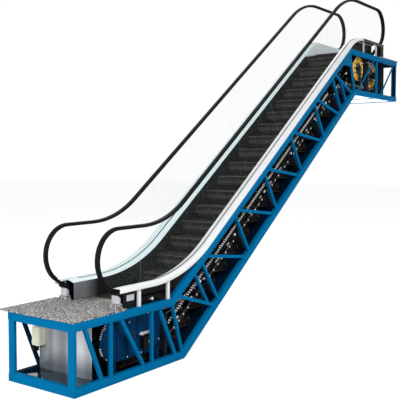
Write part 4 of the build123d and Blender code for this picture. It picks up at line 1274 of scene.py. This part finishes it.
landing = {
    "plates": ((-0.060, 0.890, -0.575, 0.700, 0.897), (9.160, 10.150, -0.575, 0.575, 4.927)),
    "along": (0.16, 0.84), "across": (0.14, 0.86), "seam": 0.0015, "seamIn": 0.02,
    "socket": (
        (0.002, -0.0004), (0.010, -0.0004), (0.012, -0.001), (0.016, -0.001), (0.018, 0.0), (0.002, 0.0),
    ),
}
sockets, seams = [], []
for x0, x1, y0, y1, top in landing["plates"]:
    for along in landing["along"]:
        for across in landing["across"]:
            sockets.append((x0 + (x1 - x0) * along, y0 + (y1 - y0) * across, top + 0.0005, (0, 0, 1)))
    middle, half, inside = (x0 + x1) / 2, landing["seam"], landing["seamIn"]
    seams.append(((middle - half, y0 + inside, top - 0.001), (middle + half, y1 - inside, top + 0.0004)))
bolted("lifting_sockets", "inlet", sockets, turned(landing["socket"], (0, 0), 14))
settle(joined(*(block(low, high) for low, high in seams)), "hatch_seams", "inlet")


# Control cabinet and relay box: lids, hinges, a latch and cable glands

cabinet = {
    "low": (0.285, 0.378, 0.395), "high": (0.410, 0.500, 0.640), "hinges": (0.43, 0.575),
    "glands": ((0.345, 0.40, 0.396), (0.345, 0.43, 0.396), (0.345, 0.46, 0.396)),
    "gland": ((0.004, 0), (0.010, 0), (0.012, 0.006), (0.012, 0.016), (0.008, 0.024), (0.004, 0.024)),
    "relayLid": ((0.316, 0.5035, 0.304), (0.323, 0.5215, 0.416)),
}
(x0, y0, z0), (x1, y1, z1) = cabinet["low"], cabinet["high"]
trim = [
    block((x0 - 0.008, y0 + 0.006, z0 + 0.008), (x0 + 0.001, y1 - 0.006, z1 - 0.008), 0.003, 2),
    block((x0 + 0.006, y0 - 0.006, z0 + 0.008), (x1 - 0.006, y0 + 0.001, z1 - 0.008), 0.002, 2),
]
for z in cabinet["hinges"]:
    trim.append(block((x0 - 0.012, y1 - 0.012, z), (x0 - 0.002, y1 - 0.002, z + 0.035), 0.003))
trim.append(block((x0 - 0.016, y0 + 0.012, 0.50), (x0 - 0.006, y0 + 0.026, 0.535), 0.004, 2))
settle(joined(*trim), "cabinet_door", "cabinet")
glands = []
for place in cabinet["glands"]:
    gland = turned(cabinet["gland"], (0, 0), 10)
    gland.data.transform(Matrix.Rotation(math.radians(-90), 4, "X"))
    gland.data.transform(Matrix.Translation(place))
    glands.append(gland)
settle(joined(*glands, block(*cabinet["relayLid"], 0.002)), "cabinet_glands", "inlet")
print("boxes dressed")


# Rollers that carry the handrail back under the decks

returnRollers = {"radius": 0.022, "half": 0.030, "start": 1.5, "before": 0.5, "pitch": 0.55}
radius, half = returnRollers["radius"], returnRollers["half"]
start, end = returnRollers["start"], lengthOf(handrailBack[:-1]) - returnRollers["before"]
spots = []
while start < end:
    point, heading = spot(handrailLoop, lengthOf(handrailOut) + start)
    off = Vector((-heading.y, heading.x)) * (handrailShape["thick"] + radius)
    spots.append(standing(point.x + off.x, point.y + off.y, 0, handrailShape["y"]))
    start += returnRollers["pitch"]
section = [
    (0.006, -half), (radius - 0.003, -half), (radius, -half + 0.004), (radius, half - 0.004),
    (radius - 0.003, half), (0.006, half),
]
rollers = mirrored(copies(turned(section, (0, 0), 12), spots))
settle(rollers, "handrail_return_rollers", "roller", smooth=40)


# Small guide rollers in two staggered rows on a carrier strip, above the returning handrail

guideRollers = {
    "rows": (0.584, 0.608), "radius": 0.0098, "at": (0.487, 0.496), "pitch": 0.046, "start": 0.10,
    "end": 6.10, "carrierLow": (0.07, 0.484, 0.574), "carrierHigh": (6.13, 0.487, 0.616),
}
foot = standing(travel["trussKink"], 0, leanAngle)
spots = []
for row, height in enumerate(guideRollers["rows"]):
    reach = guideRollers["start"] + row * guideRollers["pitch"] / 2
    while reach < guideRollers["end"]:
        spots.append(foot @ standing(reach, height))
        reach += guideRollers["pitch"]
rollers = copies(rod(guideRollers["radius"], *guideRollers["at"], (0, 0), 8, 0), spots)
carrier = block(guideRollers["carrierLow"], guideRollers["carrierHigh"])
carrier.data.transform(foot)
settle(mirrored(rollers), "guide_rollers", "roller")
settle(mirrored(carrier), "guide_roller_carriers", "guide")
print("details made")


# Floor, light and camera

studio = {
    "floorSize": 120, "floorAt": (5, 0, -0.001), "floorGlow": 0.78, "floorColour": (0.42, 0.42, 0.42, 1),
    "lit": ((0.95, 0.97, 1, 1), 0.45), "seen": ((1, 1, 1, 1), 1.0),
    "lamps": {  # place, target, size and power
        "keyLamp": ((-4, -12, 14), (5, 0, 2.5), (8, 8), 1600),
        "fillLamp": ((-10, 4, 6), (4, 0, 2), (6, 6), 500),
        "endLamp": ((-7, -1.8, 1.8), (0, 0.1, 0.5), (3, 3), 235),
        "sideLamp": ((3, -12, 1.8), (4, 0, 2.2), (8, 3), 360),
        "lowLamp": ((9.2, 0.3, 0.9), (9.2, 0, 3.9), (2.4, 1.2), 190),
        "backLamp": ((16, 9, 12), (6, 0, 3), (8, 8), 800),
    },
}


def seenRay(tree):
    # 1 for the rays that show the background: from the camera, off metal and through glass
    rays = newNode(tree, "ShaderNodeLightPath", {}, {}).outputs
    seen = rays["Is Camera Ray"]
    for name in ("Is Glossy Ray", "Is Transmission Ray"):
        seen = newNode(tree, "ShaderNodeMath", {"operation": "MAXIMUM"}, {0: seen, 1: rays[name]}).outputs[0]
    return seen


def addFloor():
    bpy.ops.mesh.primitive_plane_add(size=studio["floorSize"], location=studio["floorAt"])
    floor = bpy.context.object
    floor.name = "studioFloor"
    look = bpy.data.materials.new("studioFloorPaint")
    look.use_nodes = True
    tree = look.node_tree
    tree.nodes.clear()
    ground = newNode(tree, "ShaderNodeBsdfDiffuse", {}, {"Color": studio["floorColour"]})
    levels = {0: seenRay(tree), 1: studio["floorGlow"]}
    level = newNode(tree, "ShaderNodeMath", {"operation": "MULTIPLY"}, levels)
    glow = newNode(tree, "ShaderNodeEmission", {}, {"Strength": level.outputs[0]})
    both = newNode(tree, "ShaderNodeAddShader", {}, {0: ground.outputs[0], 1: glow.outputs[0]})
    newNode(tree, "ShaderNodeOutputMaterial", {}, {"Surface": both.outputs[0]})
    floor.data.materials.append(look)


def addWorld():
    world = bpy.data.worlds.new("studio")
    bpy.context.scene.world = world
    world.use_nodes = True
    tree = world.node_tree
    tree.nodes.clear()
    glows = []
    for colour, strength in (studio["lit"], studio["seen"]):
        glow = newNode(tree, "ShaderNodeBackground", {}, {"Color": colour, "Strength": strength})
        glows.append(glow.outputs[0])
    blend = newNode(tree, "ShaderNodeMixShader", {}, {0: seenRay(tree), 1: glows[0], 2: glows[1]})
    newNode(tree, "ShaderNodeOutputWorld", {}, {"Surface": blend.outputs[0]})


def addLamp(name, place, target, size, power):
    data = bpy.data.lights.new(name, "AREA")
    data.shape = "RECTANGLE"
    data.size, data.size_y = size
    data.energy = power
    lamp = bpy.data.objects.new(name, data)
    lamp.location = place
    lamp.rotation_euler = (Vector(target) - Vector(place)).to_track_quat("-Z", "Y").to_euler()
    lamp.visible_camera = False
    bpy.context.scene.collection.objects.link(lamp)


cameraPlace = {
    "place": (-5.893, -6.438, 2.772), "yaw": 37.017, "pitch": -3.307, "lens": 65.22, "shift": 0.0625,
    "sensor": 36, "clip": 200,
}


def addCamera():
    data = bpy.data.cameras.new("photoView")
    data.lens = cameraPlace["lens"]
    data.sensor_width = cameraPlace["sensor"]
    data.shift_x = cameraPlace["shift"]
    data.clip_end = cameraPlace["clip"]
    camera = bpy.data.objects.new("photoView", data)
    camera.location = cameraPlace["place"]
    pitch, yaw = math.radians(90 + cameraPlace["pitch"]), math.radians(cameraPlace["yaw"] - 90)
    camera.rotation_euler = (pitch, 0, yaw)
    bpy.context.scene.collection.objects.link(camera)
    bpy.context.scene.camera = camera


addFloor()
addWorld()
for name, settings in studio["lamps"].items():
    addLamp(name, *settings)
addCamera()
bpy.context.scene.view_settings.view_transform = "Standard"
print("stage, lamps and camera set")
